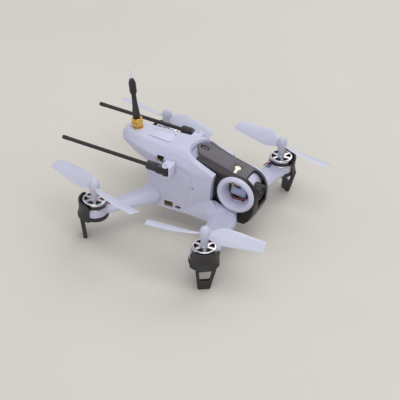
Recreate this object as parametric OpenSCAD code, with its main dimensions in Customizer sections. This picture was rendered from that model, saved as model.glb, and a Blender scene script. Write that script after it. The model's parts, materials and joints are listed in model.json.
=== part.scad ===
// Small four-rotor racing drone with a nose camera. Millimetres, +X is the nose, +Y the left side, +Z up.
// The origin is on the ground, under the middle of the outline. Rotors, motors and feet are level;
// the fuselage sits nose-up by fuselage_pitch, so its parts are drawn level and turned by in_fuselage().

/* [Rotors] */
// Distance from the middle to the front motor axes, along the nose
front_axis_x = 45.3; // [42:0.1:50]
// Distance from the middle to the front motor axes, sideways
front_axis_y = 63.3; // [60:0.1:66]
// Distance from the middle to the rear motor axes, along the tail
rear_axis_x = 45.4; // [42:0.1:50]
// Distance from the middle to the rear motor axes, sideways
rear_axis_y = 53.8; // [51:0.1:57]
// Height of the blades' mid plane above the ground
blade_plane = 40.9; // [40:0.1:43]
// Diameter of the propellers
propeller_d = 83; // [76:1:84]
// Widest chord of a blade
blade_chord = 13; // [9:0.5:14]
// Diameter of the propeller's domed hub
dome_d = 7.4; // [6.5:0.1:8.5]

/* [Motors] */
// Outer diameter of the rotating bell
bell_d = 17; // [16:0.5:17.5]
// Height of the bell's top plate above the ground
bell_top = 31.7; // [31.5:0.1:32]
// Diameter of the motor shaft
shaft_d = 2; // [1.5:0.1:2.2]
// Outer diameter of the two small bearings
bearing_d = 5; // [4:0.5:5]
// Gap between a running shaft and its hole, on the radius
running_gap = 0.04; // [0.02:0.01:0.08]

/* [Feet] */
// Width of a foot where it leaves the base disc
foot_top_w = 14.4; // [12:0.2:16]
// Width of a foot at the ground
foot_bottom_w = 8.4; // [6:0.2:10]
// Half of the arc that the motor guard covers, degrees
guard_half_arc = 66; // [40:1:80]

/* [Fuselage] */
// Nose-up angle of the fuselage against the rotors
fuselage_pitch = 3; // [0:0.5:4]
// Half of the fuselage's width
half_w = 18; // [17.5:0.1:18.5]
// Wall thickness of the shells
wall = 1.5; // [1.2:0.1:1.6]
// Height of the underside
floor_z = 18; // [17.5:0.1:18.4]

/* [Head] */
// Outer diameter of the camera cradle's side rings
ring_d = 28.2; // [26:0.2:29]
// Diameter of the opening in the side rings
ring_hole_d = 18; // [16:0.5:18]
// Half of the visor's width
visor_half_w = 12.5; // [12:0.1:12.8]
// Diameter of the lens barrel
lens_d = 12; // [10:0.5:12]

/* [Antennas] */
// Outer diameter of the receiver antenna tubes
tube_d = 3; // [2:0.1:3.4]
// Distance from the hinge pin to the end of a receiver antenna
antenna_len = 82.7; // [70:0.1:84]
// Diameter of the hinge pins
pin_d = 1.6; // [1.2:0.1:2]
// Width across the flats of the coaxial connector's nut
nut_af = 8; // [7:0.1:8.5]

/* [Hidden] */
$fn = 48;
EPS = 0.1;
QUADS = ["front_right", "front_left", "rear_left", "rear_right"];
AXIS_XY = [[front_axis_x, -front_axis_y], [front_axis_x, front_axis_y],
           [-rear_axis_x, rear_axis_y], [-rear_axis_x, -rear_axis_y]];
// Rest angle of each propeller, its sense of rotation and the way its foot points
BLADE_ANGLE = [11.7, -13, -7.8, -18.9];
SENSE = [1, -1, 1, -1];
FOOT_ANGLE = [-52.7, 52.7, 145, 215];

bell_r = bell_d / 2;
base_top = bell_top - 4.7;
base_r = 8.8;
cup_top = base_top - 1;
cup_floor = cup_top - 5.4;
cup_r = 9.6;
foot_disc_h = 2.8;
foot_disc_r = 10.3;
foot_joint = cup_floor - foot_disc_h;
screw_r = 0.95;
screw_ring_r = 6.5;
guard_r = 11.4;
guard_wall = 1.4;
foot_lean = 8.5;

pivot_z = 43;
ground_drop = 2.3;
deck_z = floor_z + 1.2;
shelf_z = 28;
rear_x = -23.5;
inner_w = half_w - wall;

// Sections of the upper hull: x, half width and height of the roof's edge, then of the side's edge
ROOF = [[-50, 4.6, 65.0, 6.6, 60.6], [-43, 7.2, 67.6, 10, 61.2], [rear_x, 9.8, 65.6, 15.8, 59.2],
        [-3, 13, 63.4, half_w, 57.2], [12, 16, 61.4, half_w, 54.4], [28.6, half_w - 0.4, 55.2, half_w, 53]];
roof_crown = 0.5;
skirt = 2;
// Parting line between the rear side walls and the front shoulders, seen from the side
PARTING = [[-3, 57.2], [3.1, 54.9], [9.3, 50.2], [12.2, 46.2], [5.8, 21.5]];
SHOULDER_FRONT = [[24.6, 21.5], [25.4, 30], [26, 36], [27, 46.4]];

pocket_x = 13.5;
ring_x = 44;
ring_z = 42.5;
hub_r = ring_hole_d / 2 + 0.9;
lens_drop = 11;
VISOR_ARC = [42.5, 38.5, 16];

hinge_x = -4.4;
hinge_y = 25.2;
hinge_z = 54.7;
sleeve_out = 1.1;
sleeve_up = 1.5;
coax_x = -40;
coax_z = 67.4;
coax_lean = -6;

function arc(cx, cz, r, from, to, n) = [for (i = [0:n]) let (a = from + (to - from) * i / n)
    [cx + r * cos(a), cz + r * sin(a)]];

// ---- placing ----

module in_fuselage() {
    translate([0, 0, pivot_z - ground_drop]) rotate([0, -fuselage_pitch, 0]) translate([0, 0, -pivot_z]) children();
}

module at_motor(i) {
    translate([AXIS_XY[i][0], AXIS_XY[i][1], 0]) children();
}

module at_all_motors() {
    for (i = [0:3]) at_motor(i) children();
}

module both_sides() {
    children();
    mirror([0, 1, 0]) children();
}

// A side outline, drawn in X and Z, made into a plate between two Y values
module side_plate(y_from, y_to, points) {
    translate([0, y_to, 0]) rotate([90, 0, 0]) linear_extrude(y_to - y_from) polygon(points);
}

module box(from, to) {
    translate(from) cube(to - from);
}

module ring(r_out, r_in, z_from, z_to) {
    difference() {
        translate([0, 0, z_from]) cylinder(r = r_out, h = z_to - z_from);
        translate([0, 0, z_from - 1]) cylinder(r = r_in, h = z_to - z_from + 2);
    }
}

// A thin slice of the upper hull with a short upright skirt; shrink moves its outline inward
module roof_slice(s, shrink = 0) {
    translate([s[0], 0, 0]) rotate([90, 0, 90]) linear_extrude(EPS)
        polygon([[-s[3] + shrink, s[4] - skirt], [-s[3] + shrink, s[4]], [-s[1] + shrink * 0.6, s[2] - shrink],
                 [0, s[2] + roof_crown - shrink], [s[1] - shrink * 0.6, s[2] - shrink],
                 [s[3] - shrink, s[4]], [s[3] - shrink, s[4] - skirt]]);
}

// The tail's slices also have a narrower keel under the side's edge
module tail_slice(s, keel_w, keel_z) {
    translate([s[0], 0, 0]) rotate([90, 0, 90]) linear_extrude(EPS)
        polygon([[-keel_w, keel_z], [-s[3], s[4]], [-s[1], s[2]], [0, s[2] + roof_crown],
                 [s[1], s[2]], [s[3], s[4]], [keel_w, keel_z]]);
}

// ---- frame and shells ----

module rear_side_outline() {
    side_plate(inner_w, half_w, concat([[rear_x, floor_z], [rear_x, 51.4], [rear_x, 59.2]], PARTING,
        [[SHOULDER_FRONT[0][0], 21.5], [SHOULDER_FRONT[0][0], floor_z]]));
}

module arm_front() {
    hull() {
        in_fuselage() box([28, 13.5, floor_z + 0.5], [45.8, 14.5, 27]);
        at_motor(1) translate([0, 0, cup_floor + 0.2]) cylinder(r = cup_r - 0.5, h = cup_top - cup_floor - 0.4, $fn = 32);
    }
}

module arm_rear() {
    hull() {
        in_fuselage() box([-24, 16.6, 19.6], [-11.8, 17.6, 29.6]);
        at_motor(2) translate([0, 0, cup_floor + 0.2]) cylinder(r = 6.6, h = cup_top - cup_floor - 0.4, $fn = 32);
    }
}

// Fairing from the body's side and the camera's side to the front arm
module arm_root() in_fuselage() {
    hull() {
        side_plate(half_w + 0.08, half_w + 0.3,
            [[6.2, 18.7], [6.4, 21.6], [17.5, 30.2], [27.4, 34.6], [33.2, 28.2], [34, 19]]);
        box([33, half_w + 1.6, 19], [34, half_w + 1.8, 27.8]);
        box([27.8, half_w + 3, 19], [34, half_w + 3.2, 24.2]);
    }
    hull() {
        side_plate(13.2, 13.4, [[27.4, 20], [27.4, 32.2], [31.5, 31], [44.2, 27], [44.2, 20]]);
        side_plate(half_w, half_w + 0.2, [[27.4, 20], [27.4, 34.4], [33.2, 28.2], [33.2, 20]]);
    }
}

// Holes in the motor cup, and the room that the foot's disc and the stator base need
module motor_cuts() {
    translate([0, 0, cup_floor - 1]) cylinder(r = 2.6, h = 8);
    for (a = [45:90:315]) rotate([0, 0, a]) translate([screw_ring_r, 0, cup_floor - 1]) cylinder(r = 1.1, h = 8);
    translate([0, 0, foot_joint - 1]) cylinder(r = foot_disc_r + 0.3, h = foot_disc_h + 1);
    translate([0, 0, cup_top]) cylinder(r = cup_r + 0.15, h = 8);
}

// The side of a motor that its leads leave from, towards the middle
module towards_middle(i) {
    at_motor(i) rotate([0, 0, atan2(-AXIS_XY[i][1], -AXIS_XY[i][0])]) children();
}

module side_pin_slot() {
    box([-16, -half_w - 1, 54.8], [-10.2, -inner_w + 3.4, 59.6]);
}

module lower_frame() color([0.72, 0.73, 0.83]) difference() {
    union() {
        in_fuselage() {
            box([rear_x, -half_w, floor_z], [27, half_w, deck_z]);
            both_sides() rear_side_outline();
            both_sides() box([4, half_w - EPS, floor_z + 0.6], [27, half_w + 0.6, 21]);
            box([rear_x, -inner_w, deck_z - EPS], [rear_x + wall, inner_w, shelf_z]);
            box([rear_x, -inner_w - EPS, shelf_z], [22, inner_w + EPS, shelf_z + 1]);
            // nose tray between the front arms
            box([27 - EPS, -14, floor_z], [44.4, 14, deck_z + 0.6]);
            both_sides() box([22, 12.2, deck_z - EPS], [44.4, 14, 27.6]);
            box([42.9, -12.4, deck_z], [44.4, 12.4, 27.6]);
        }
        both_sides() {
            arm_front();
            arm_root();
            arm_rear();
        }
        at_all_motors() translate([0, 0, cup_floor]) cylinder(r = cup_r, h = cup_top - cup_floor);
    }
    at_all_motors() motor_cuts();
    for (i = [0:3]) towards_middle(i) box([8, -3.3, cup_top - 0.2], [13.2, 3.3, cup_top + 4]);
    in_fuselage() {
        side_pin_slot();
        box([-10.2, -half_w - 1, 19.8], [-3, -inner_w + 0.5, 24.2]);
        box([-1.4, -half_w - 1, 20.2], [3.2, -inner_w + 0.5, 22.4]);
        for (x = [-16, 16], y = [-11, 11]) translate([x, y, 0]) {
            translate([0, 0, floor_z - 1]) cylinder(r = 1.1, h = 3);
            translate([0, 0, floor_z - 0.1]) cylinder(r1 = 2.2, r2 = 0.9, h = 1.12);
        }
    }
}

module pocket_end(grow) {
    translate([pocket_x, 0]) scale([0.66, 1]) circle(r = visor_half_w + 0.6 + grow);
}

// Wall that hangs from the roof around the rear of the visor's pocket
module pocket_wall() intersection() {
    translate([0, 0, 59.4]) linear_extrude(8) difference() {
        pocket_end(1.2);
        pocket_end(0);
    }
    hull() {
        roof_slice(ROOF[3], 0.4);
        roof_slice(ROOF[4], 0.4);
    }
    box([3, -14.4, 59], [11.6, 14.4, 66]);
}

module upper_shell() color([0.76, 0.77, 0.86]) in_fuselage() {
    canopy();
    pocket_wall();
}

module canopy() difference() {
    union() {
        hull() {
            tail_slice(ROOF[0], 5.6, 58.6);
            tail_slice(ROOF[1], 8.6, 57.4);
        }
        hull() {
            tail_slice(ROOF[1], 8.6, 57.4);
            tail_slice(ROOF[2], 15.6, 52);
        }
        for (i = [2:4]) hull() {
            roof_slice(ROOF[i]);
            roof_slice(ROOF[i + 1]);
        }
        both_sides() side_plate(inner_w, half_w, concat([[-2, 21.5]], SHOULDER_FRONT, [[28.4, 52.5], [12, 53.9], [-2, 56.4]]));
        both_sides() side_plate(visor_half_w + 0.4, inner_w + EPS,
            [[24.2, 30], [25.4, 30], [26, 36], [27, 46.4], [28.4, 52.5], [27.2, 52.5], [25.8, 46.4], [24.8, 36]]);
    }
    // hollow of the tail and of the middle
    hull() {
        roof_slice([-44.8, 5.2, 65.8, 7.6, 60.4], 0);
        roof_slice([rear_x - 1, 8.6, 64, 14, 55], 0);
    }
    hull() {
        roof_slice([rear_x - 1.1, 9.8, 65.6, 15.8, 53], wall);
        roof_slice([25, 13, 56.6, half_w, 44], wall);
    }
    // the lower edge sits on the frame's side walls
    both_sides() side_plate(inner_w - 0.05, half_w + 1, concat([[rear_x - 0.05, 20], [rear_x - 0.05, 59.25]],
        [for (p = PARTING) p + [0.12, 0.05]], [[5.9, 20]]));
    // pocket around the visor's tail
    translate([0, 0, 45]) linear_extrude(40) union() {
        pocket_end(0);
        translate([pocket_x, -visor_half_w - 0.6]) square([24.5, 2 * visor_half_w + 1.2]);
    }
    side_pin_slot();
    translate([coax_x, 0, coax_z]) rotate([0, coax_lean, 0]) translate([0, 0, -6]) cylinder(r = 3.15, h = 12);
}

module top_panel() color([0.79, 0.80, 0.88]) in_fuselage()
    translate([-20, 0, 66.25]) rotate([0, 5.4, 0]) linear_extrude(0.5)
        polygon([[-8.6, -4.4], [7.6, -5.6], [8.6, 0], [7.6, 5.6], [-8.6, 4.4], [-9.6, 0]]);

module visor_outline() {
    polygon(concat([[8.2, 65.2], [8.7, 65.8]], arc(VISOR_ARC[0], VISOR_ARC[1], VISOR_ARC[2], 84, -10, 16),
        [[57.7, 28.5], [54.4, 21.8], [50.6, 18.6], [45.2, 19], [45.2, 30], [32, 33.2], [26.4, 33.6],
         [27.4, 42], [29.2, 54.6], [12.6, 62.1]]));
}

// Seen from above: the tail ends in a tongue that is narrower than the rest
module visor_plan() {
    left = [[8.2, 1.6], [11.1, 5.9], [14, 8.8], [12.6, visor_half_w], [55.4, visor_half_w], [59.5, 9.4]];
    polygon(concat(left, [for (i = [len(left) - 1:-1:0]) [left[i][0], -left[i][1]]]));
}

module front_visor() color([0.05, 0.05, 0.06]) in_fuselage() difference() {
    intersection() {
        translate([0, visor_half_w, 0]) rotate([90, 0, 0]) linear_extrude(2 * visor_half_w) visor_outline();
        translate([0, 0, 10]) linear_extrude(60) visor_plan();
    }
    // hollow, open towards the frame
    side_plate(-visor_half_w + wall, visor_half_w - wall,
        concat([[0, 60], [14, 62.3]], arc(VISOR_ARC[0], VISOR_ARC[1], VISOR_ARC[2] - wall, 82, -10, 12),
        [[56.1, 28.7], [53, 22.6], [50, 20.2], [45, 20.4], [40, 15], [0, 15]]));
    // slot for the lens
    box([48.8, -6.8, 30.9], [62, 6.8, 58]);
    // bearings of the cradle's hubs
    translate([ring_x, 20, ring_z]) rotate([90, 0, 0]) cylinder(r = hub_r + running_gap, h = 40);
    // countersunk screw, and the keyhole for the status light
    translate([14.2, 0, 50]) cylinder(r = 1.1, h = 20);
    translate([14.2, 0, 63.1]) cylinder(r = 2.6, h = 5);
    keyhole(0.05);
}

module keyhole(gap) {
    translate([39.7, -0.8, 48]) cylinder(r = 2.3 + gap, h = 12);
    box([38.9 - gap, -6.6 - gap, 48], [40.5 + gap, -0.8, 60]);
}

module visor_window() color([0.93, 0.93, 0.80]) in_fuselage() intersection() {
    keyhole(0);
    translate([39.7, 0, 54.75]) rotate([0, 18, 0]) box([-8, -8, -0.6], [8, 8, 0.7]);
}

// ---- feet ----

// Open frame of a foot: a leaning trapezoid plate with a window, cut off level at the ground
module foot_frame() {
    bar = 2.9;
    intersection() {
        translate([7.9, 0, foot_joint + 1]) rotate([0, foot_lean, 0]) rotate([90, 0, 90]) linear_extrude(2.6)
            difference() {
                polygon([[-foot_top_w / 2, 0], [foot_top_w / 2, 0], [foot_bottom_w / 2, -foot_joint - 2],
                         [-foot_bottom_w / 2, -foot_joint - 2]]);
                polygon([[bar - foot_top_w / 2, -2.4], [foot_top_w / 2 - bar, -2.4],
                         [foot_bottom_w / 2 + 0.9 - bar / 2, 6.4 - foot_joint],
                         [bar / 2 - foot_bottom_w / 2 - 0.9, 6.4 - foot_joint]]);
            }
        translate([-20, -20, 0]) cube(40);
    }
}

module foot(i) color([0.07, 0.065, 0.065]) at_motor(i) rotate([0, 0, FOOT_ANGLE[i]]) difference() {
    union() {
        translate([0, 0, foot_joint]) cylinder(r = foot_disc_r, h = foot_disc_h - 0.05);
        // guard around the outer side of the motor
        rotate([0, 0, -guard_half_arc]) rotate_extrude(angle = 2 * guard_half_arc)
            polygon([[guard_r - guard_wall, foot_joint], [guard_r - 0.6, foot_joint], [guard_r, foot_joint + 2.4],
                     [guard_r - 0.3, bell_top - 1], [guard_r - guard_wall, bell_top - 0.2]]);
        foot_frame();
    }
    translate([0, 0, foot_joint - 1]) cylinder(r = 3, h = 6);
    for (a = [45:90:315]) rotate([0, 0, a - FOOT_ANGLE[i]]) translate([screw_ring_r, 0, foot_joint - 1]) {
        cylinder(r = 1.1, h = 6);
        cylinder(r = 1.9, h = 2.3);
    }
}

// ---- motors ----

module stator_base() color([0.78, 0.79, 0.80]) difference() {
    union() {
        translate([0, 0, cup_top]) cylinder(r = base_r, h = base_top - cup_top);
        translate([0, 0, cup_top - 2.4]) cylinder(r = 2.5, h = 3);
        translate([0, 0, base_top - EPS]) cylinder(r = bearing_d / 2 + 0.7, h = 3);
    }
    translate([0, 0, cup_top - 3]) cylinder(r = bearing_d / 2 - 0.9, h = 8);
    translate([0, 0, cup_top + 0.2]) cylinder(r = bearing_d / 2, h = 8);
    for (a = [45:90:315]) rotate([0, 0, a]) translate([screw_ring_r, 0, cup_top - 1]) cylinder(r = 1, h = 3);
}

module stator_windings() at_all_motors() {
    inner = bearing_d / 2 + 0.7;
    color([0.25, 0.25, 0.27]) ring(inner + 1.4, inner, base_top + 0.5, base_top + 2.7);
    for (a = [0:40:320]) rotate([0, 0, a]) {
        color([0.25, 0.25, 0.27]) box([inner + 1.2, -0.5, base_top + 1], [7.2, 0.5, base_top + 2.2]);
        color([0.72, 0.36, 0.16]) box([inner + 1.6, -1.05, base_top + 0.6], [6.6, 1.05, base_top + 2.6]);
    }
}

module motor_bearings() color([0.8, 0.8, 0.82]) at_all_motors() {
    for (z = [cup_top + 0.2, base_top + 1]) {
        ring(bearing_d / 2, bearing_d / 2 - 0.45, z, z + 1.8);
        ring(bearing_d / 2 - 0.45, shaft_d / 2 + 0.45, z + 0.2, z + 1.6);
        ring(shaft_d / 2 + 0.45, shaft_d / 2 + running_gap, z, z + 1.8);
    }
}

module motor_screws() color([0.2, 0.2, 0.22]) at_all_motors()
    for (a = [45:90:315]) rotate([0, 0, a]) translate([screw_ring_r, 0, 0]) {
        translate([0, 0, foot_joint + 0.1]) cylinder(r = 1.75, h = 1.2);
        translate([0, 0, foot_joint + 0.2]) cylinder(r = screw_r, h = base_top - foot_joint - 0.3);
    }

module bell() color([0.82, 0.83, 0.84]) difference() {
    union() {
        translate([0, 0, bell_top - 1.3]) cylinder(r1 = bell_r, r2 = bell_r - 0.4, h = 1.3);
        ring(bell_r, bell_r - 0.5, bell_top - 4.3, bell_top - 1.2);
        translate([0, 0, bell_top - EPS]) cylinder(r = 2.6, h = 0.6);
    }
    translate([0, 0, bell_top - 5]) cylinder(r = shaft_d / 2, h = 8);
    // six windows that show the windings
    for (a = [0:60:300]) rotate([0, 0, a]) translate([5.2, 0, bell_top - 2]) {
        translate([0, -1, 0]) cylinder(r = 1.35, h = 4);
        translate([0, 1, 0]) cylinder(r = 1.35, h = 4);
    }
}

module magnet_ring() color([0.12, 0.12, 0.13]) ring(bell_r - 0.5, bell_r - 0.95, bell_top - 4.2, bell_top - 1.3);

module motor_shaft() color([0.85, 0.85, 0.86]) translate([0, 0, cup_top + 0.3])
    cylinder(r = shaft_d / 2, h = blade_plane + 1 - cup_top);

// A blade is a chain of thin sections: [radius, chord, pitch angle, sweep ahead of the radius]
BLADE = [[1.5, 4.6, 30, 0.3], [13, blade_chord, 28, 0.6], [27, blade_chord - 1.2, 21, 0],
         [propeller_d / 2 - 1.2, 8.6, 15, -0.8]];

// Blades are drawn for a propeller that turns anticlockwise and mirrored for one that turns clockwise
module blade_hand(sense) {
    if (sense > 0) children();
    else mirror([0, 1, 0]) children();
}

module blade_section(s) {
    translate([s[0], s[3], blade_plane]) rotate([s[2], 0, 0]) rotate([90, 0, 90]) linear_extrude(0.6)
        polygon([[-s[1] / 2, -0.2], [0, 0.2], [s[1] / 2, -0.3], [s[1] / 2, 0.2], [0, 1.1], [-s[1] / 2, 0.3]]);
}

module propeller(i) color([0.74, 0.77, 0.88]) at_motor(i) rotate([0, 0, BLADE_ANGLE[i]]) difference() {
    union() {
        rotate_extrude() polygon(concat([[0, bell_top + 0.65], [2.7, bell_top + 0.65], [3.1, blade_plane - 3.4]],
            arc(0, blade_plane + 2.2, dome_d / 2, -10, 0, 1), [for (a = [15:15:90])
                [dome_d / 2 * cos(a), blade_plane + 2.2 + 4.5 * sin(a)]]));
        for (turn = [0, 180], k = [0:2]) rotate([0, 0, turn]) blade_hand(SENSE[i]) hull() {
            blade_section(BLADE[k]);
            blade_section(BLADE[k + 1]);
        }
    }
    translate([0, 0, bell_top]) cylinder(r = shaft_d / 2, h = blade_plane + 1.3 - bell_top);
}

// Three short leads from each stator to its arm
module motor_wires() {
    for (i = [0:3], k = [-1:1]) color([[0.7, 0.1, 0.1], [0.1, 0.1, 0.1], [0.15, 0.2, 0.6]][k + 1])
        towards_middle(i) rotate([0, 0, 12 * k]) translate([base_r + 0.05, 0, cup_top + 0.5])
            rotate([0, 90, 0]) cylinder(r = 0.45, h = 3.2, $fn = 16);
}

// ---- camera ----

// Along the lens: +X from the cradle's axis through the lens
module along_lens() {
    translate([ring_x, 0, ring_z]) rotate([0, lens_drop, 0]) children();
}

// Right side: a hub with the wide ring that tilts the camera
module cradle_ring() {
    rotate([-90, 0, 0]) rotate_extrude() polygon([[ring_hole_d / 2, 8.4], [hub_r, 8.4], [hub_r, visor_half_w + 0.3],
        [ring_d / 2 - 0.8, visor_half_w + 0.3], [ring_d / 2, visor_half_w + 1.2], [ring_d / 2 - 0.5, visor_half_w + 2.4],
        [ring_d / 2 - 2, visor_half_w + 3.2], [ring_hole_d / 2 + 1.2, visor_half_w + 3.2],
        [ring_hole_d / 2, visor_half_w + 2.2]]);
}

// Left side: a plain hub in the visor's wall
module cradle_hub() {
    rotate([-90, 0, 0]) rotate_extrude() polygon([[ring_hole_d / 2, 8.4], [hub_r, 8.4], [hub_r, visor_half_w],
        [hub_r - 0.4, visor_half_w + 0.4], [ring_hole_d / 2, visor_half_w + 0.4]]);
}

module camera_cradle() color([0.74, 0.76, 0.87]) in_fuselage() difference() {
    union() {
        translate([ring_x, 0, ring_z]) {
            cradle_hub();
            mirror([0, 1, 0]) cradle_ring();
        }
        // drum wall behind the lens slot
        translate([ring_x, 8.5, ring_z]) rotate([90, 0, 0]) rotate([0, 0, -62]) rotate_extrude(angle = 130)
            translate([hub_r - 1.3, 0]) square([1.1, 17]);
        // tongue under the camera module
        translate([ring_x, 0, ring_z]) box([-6, -8.6, -8.8], [3, 8.6, -7.8]);
    }
    along_lens() rotate([0, 90, 0]) cylinder(r = lens_d / 2 + 0.05, h = 20);
}

module camera_module() color([0.55, 0.58, 0.72]) in_fuselage() along_lens() difference() {
    union() {
        box([-4.4, -7.4, -5.4], [5.4, 7.4, 5.4]);
        color([0.1, 0.25, 0.15]) box([-5.4, -8, -6], [-4.3, 8, 6]);
    }
    rotate([0, 90, 0]) translate([0, 0, 1]) cylinder(r = lens_d / 2 - 2, h = 10);
}

module lens_barrel() color([0.04, 0.04, 0.045]) in_fuselage() along_lens() rotate([0, 90, 0]) difference() {
    union() {
        translate([0, 0, 5.45]) cylinder(r = lens_d / 2, h = 7.4);
        translate([0, 0, 12.8]) cylinder(r1 = lens_d / 2, r2 = lens_d / 2 - 0.7, h = 1.6);
    }
    translate([0, 0, 5]) cylinder(r = lens_d / 2 - 2, h = 7.6);
    translate([0, 0, 12.5]) cylinder(r1 = 3.2, r2 = 5, h = 2);
}

module lens_glass() color([0.2, 0.22, 0.3]) in_fuselage() along_lens() rotate([0, 90, 0]) rotate_extrude()
    polygon([[0, 11], [3.9, 11], [3.9, 12.2], [3.1, 12.5], [2, 13.2], [0, 13.5]]);

// Wires cross the cradle above and below the camera module; X and Z from the cradle's axis
WIRES_OVER = [[-5.6, 6.2], [-2.4, 7.6], [-0.9, 7.9]];
WIRES_UNDER = [[-2.2, -7.1], [-0.9, -7.1]];

module crossing_wire(at) {
    translate([at[0], -10.6, at[1]]) rotate([-90, 0, 0]) cylinder(r = 0.5, h = 21.2, $fn = 16);
}

module camera_wires() in_fuselage() translate([ring_x, 0, ring_z]) {
    for (k = [0:2]) color([[0.8, 0.1, 0.1], [0.9, 0.75, 0.1], [0.08, 0.08, 0.08]][k]) crossing_wire(WIRES_OVER[k]);
    for (k = [0:1]) color([[0.8, 0.1, 0.1], [0.08, 0.08, 0.08]][k]) crossing_wire(WIRES_UNDER[k]);
}

// ---- receiver antennas ----

// A clevis: two plates that hold the pin, a thick front wall and a thin wall on the shell
module bracket() color([0.76, 0.78, 0.88]) in_fuselage() translate([hinge_x, hinge_y, hinge_z]) difference() {
    root = half_w + 0.05 - hinge_y;
    union() {
        for (z = [[3.4, 1.1], [-4.7, 1.2]]) translate([0, 0, z[0]]) linear_extrude(z[1]) {
            polygon([[-3.6, root], [4.4, root], [4.4, 1.2], [-3.6, 1.2]]);
            circle(r = 2.9);
        }
        box([2.8, root, -4.7], [4.4, 2.4, 4.5]);
        box([-3.6, root, -4.7], [4.4, root + 0.9, 4.5]);
    }
    translate([0, 0, -8]) cylinder(r = pin_d / 2, h = 16);
}

module antenna_pins() color([0.6, 0.6, 0.62]) in_fuselage() both_sides()
    translate([hinge_x, hinge_y, hinge_z - 4.7]) {
        cylinder(r = pin_d / 2, h = 9.2);
        translate([0, 0, 9.2]) cylinder(r = pin_d / 2 + 0.4, h = 0.4);
    }

// The line of a receiver antenna: -X from the pin, level while the fuselage is nose-up
module along_antenna() {
    in_fuselage() translate([hinge_x, hinge_y + sleeve_out, hinge_z + sleeve_up]) rotate([0, fuselage_pitch, 0])
        rotate([0, -90, 0]) children();
}

// The fat rear part of the sleeve grips the tube; its narrow front eye turns on the pin
module antenna_sleeve() color([0.06, 0.055, 0.055]) difference() {
    union() {
        in_fuselage() translate([hinge_x, hinge_y, hinge_z - 3.15]) {
            cylinder(r = 2.4, h = 6.2);
            linear_extrude(6.2) polygon([[0, -2.2], [0, 2.2], [-6.4, sleeve_out + 2.4], [-6.4, sleeve_out - 2.4]]);
        }
        along_antenna() translate([0, 0, 5.9]) cylinder(r1 = 3.35, r2 = 3.15, h = 7.9);
    }
    in_fuselage() translate([hinge_x, hinge_y, hinge_z - 5]) cylinder(r = pin_d / 2 + running_gap, h = 10);
    along_antenna() translate([0, 0, 7.5]) cylinder(r = tube_d / 2, h = 10);
}

module antenna_tube() color([0.05, 0.05, 0.05]) along_antenna() {
    translate([0, 0, 7.5]) cylinder(r = tube_d / 2, h = antenna_len - 8.5);
    translate([0, 0, antenna_len - 1]) cylinder(r1 = tube_d / 2, r2 = tube_d / 2 - 0.5, h = 1);
}

// ---- video antenna ----

module on_coax() {
    in_fuselage() translate([coax_x, 0, coax_z]) rotate([0, coax_lean, 0]) children();
}

module coax_jack() color([0.8, 0.62, 0.25]) on_coax() difference() {
    union() {
        translate([0, 0, -5.6]) cylinder(r = 3.1, h = 6.2);
        translate([0, 0, 0.55]) cylinder(r = 2.6, h = 5.4);
        translate([0, 0, -5]) cylinder(r = 4.2, h = 1.6, $fn = 6);
    }
    translate([0, 0, 1.5]) cylinder(r = 1.9, h = 6);
}

module video_antenna_nut() color([0.85, 0.66, 0.22]) on_coax() difference() {
    union() {
        translate([0, 0, 1.5]) cylinder(r = nut_af / 2 / cos(30), h = 5, $fn = 6);
        translate([0, 0, 1.2]) cylinder(r = nut_af / 2 - 0.2, h = 0.4);
        translate([0, 0, 6.4]) cylinder(r = nut_af / 2 - 0.3, h = 1.3);
    }
    translate([0, 0, 0]) cylinder(r = 2.6 + running_gap, h = 6.2);
    translate([0, 0, 6]) cylinder(r = 2.2, h = 3);
}

module video_antenna_stem() color([0.04, 0.04, 0.045]) on_coax() {
    translate([0, 0, 6.3]) cylinder(r = 2.15, h = 1.6);
    translate([0, 0, 7.75]) cylinder(r1 = 2.6, r2 = 1.75, h = 20.4);
}

module video_antenna_cap() color([0.03, 0.03, 0.035]) on_coax() difference() {
    union() {
        translate([0, 0, 26.8]) cylinder(r1 = 2.5, r2 = 2.9, h = 1);
        translate([0, 0, 27.8]) cylinder(r = 2.9, h = 8);
        translate([0, 0, 35.8]) cylinder(r1 = 2.9, r2 = 1.4, h = 2.8);
    }
    translate([0, 0, 26]) cylinder(r = 1.85, h = 2.15);
    translate([0, 0, 28]) cylinder(r = 0.6, h = 12);
}

module video_antenna_wire() color([0.85, 0.86, 0.9]) on_coax() translate([0, 0, 28.2]) cylinder(r = 0.6, h = 18.6);

// ---- electronics ----

module flight_controller() in_fuselage() {
    color([0.1, 0.1, 0.12]) box([-18, -15.6, 23.2], [18, 15.6, 24.4]);
    color([0.15, 0.15, 0.16]) box([-4, -5, 24.4], [6, 5, 25.4]);
    color([0.3, 0.3, 0.3]) for (x = [-12, 11]) box([x, -4, 24.4], [x + 4, 6, 25.2]);
    color([0.8, 0.8, 0.8]) for (x = [-16, 16], y = [-11, 11]) translate([x, y, deck_z]) cylinder(r = 1.7, h = 23.2 - deck_z);
}

module power_board() in_fuselage() {
    color([0.1, 0.2, 0.12]) box([24, -11, 20.4], [41.5, 11, 21.6]);
    color([0.15, 0.15, 0.16]) for (x = [25, 33], y = [-9, 3]) box([x, y, 21.6], [x + 5, y + 6, 22.8]);
    color([0.7, 0.7, 0.7]) translate([37, 0, 21.6]) cylinder(r = 2, h = 3.6);
}

module receiver_board() in_fuselage() {
    color([0.1, 0.15, 0.3]) box([-19, -13.2, 54], [-2, 13.2, 55]);
    color([0.2, 0.2, 0.2]) box([-14, -4, 55], [-6, 4, 56.2]);
}

module video_transmitter() in_fuselage() {
    color([0.1, 0.25, 0.15]) box([-38.5, -6.6, 59.6], [-26, 6.6, 60.5]);
    color([0.7, 0.7, 0.72]) box([-34, -5, 60.5], [-27, 5, 62.2]);
}

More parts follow.
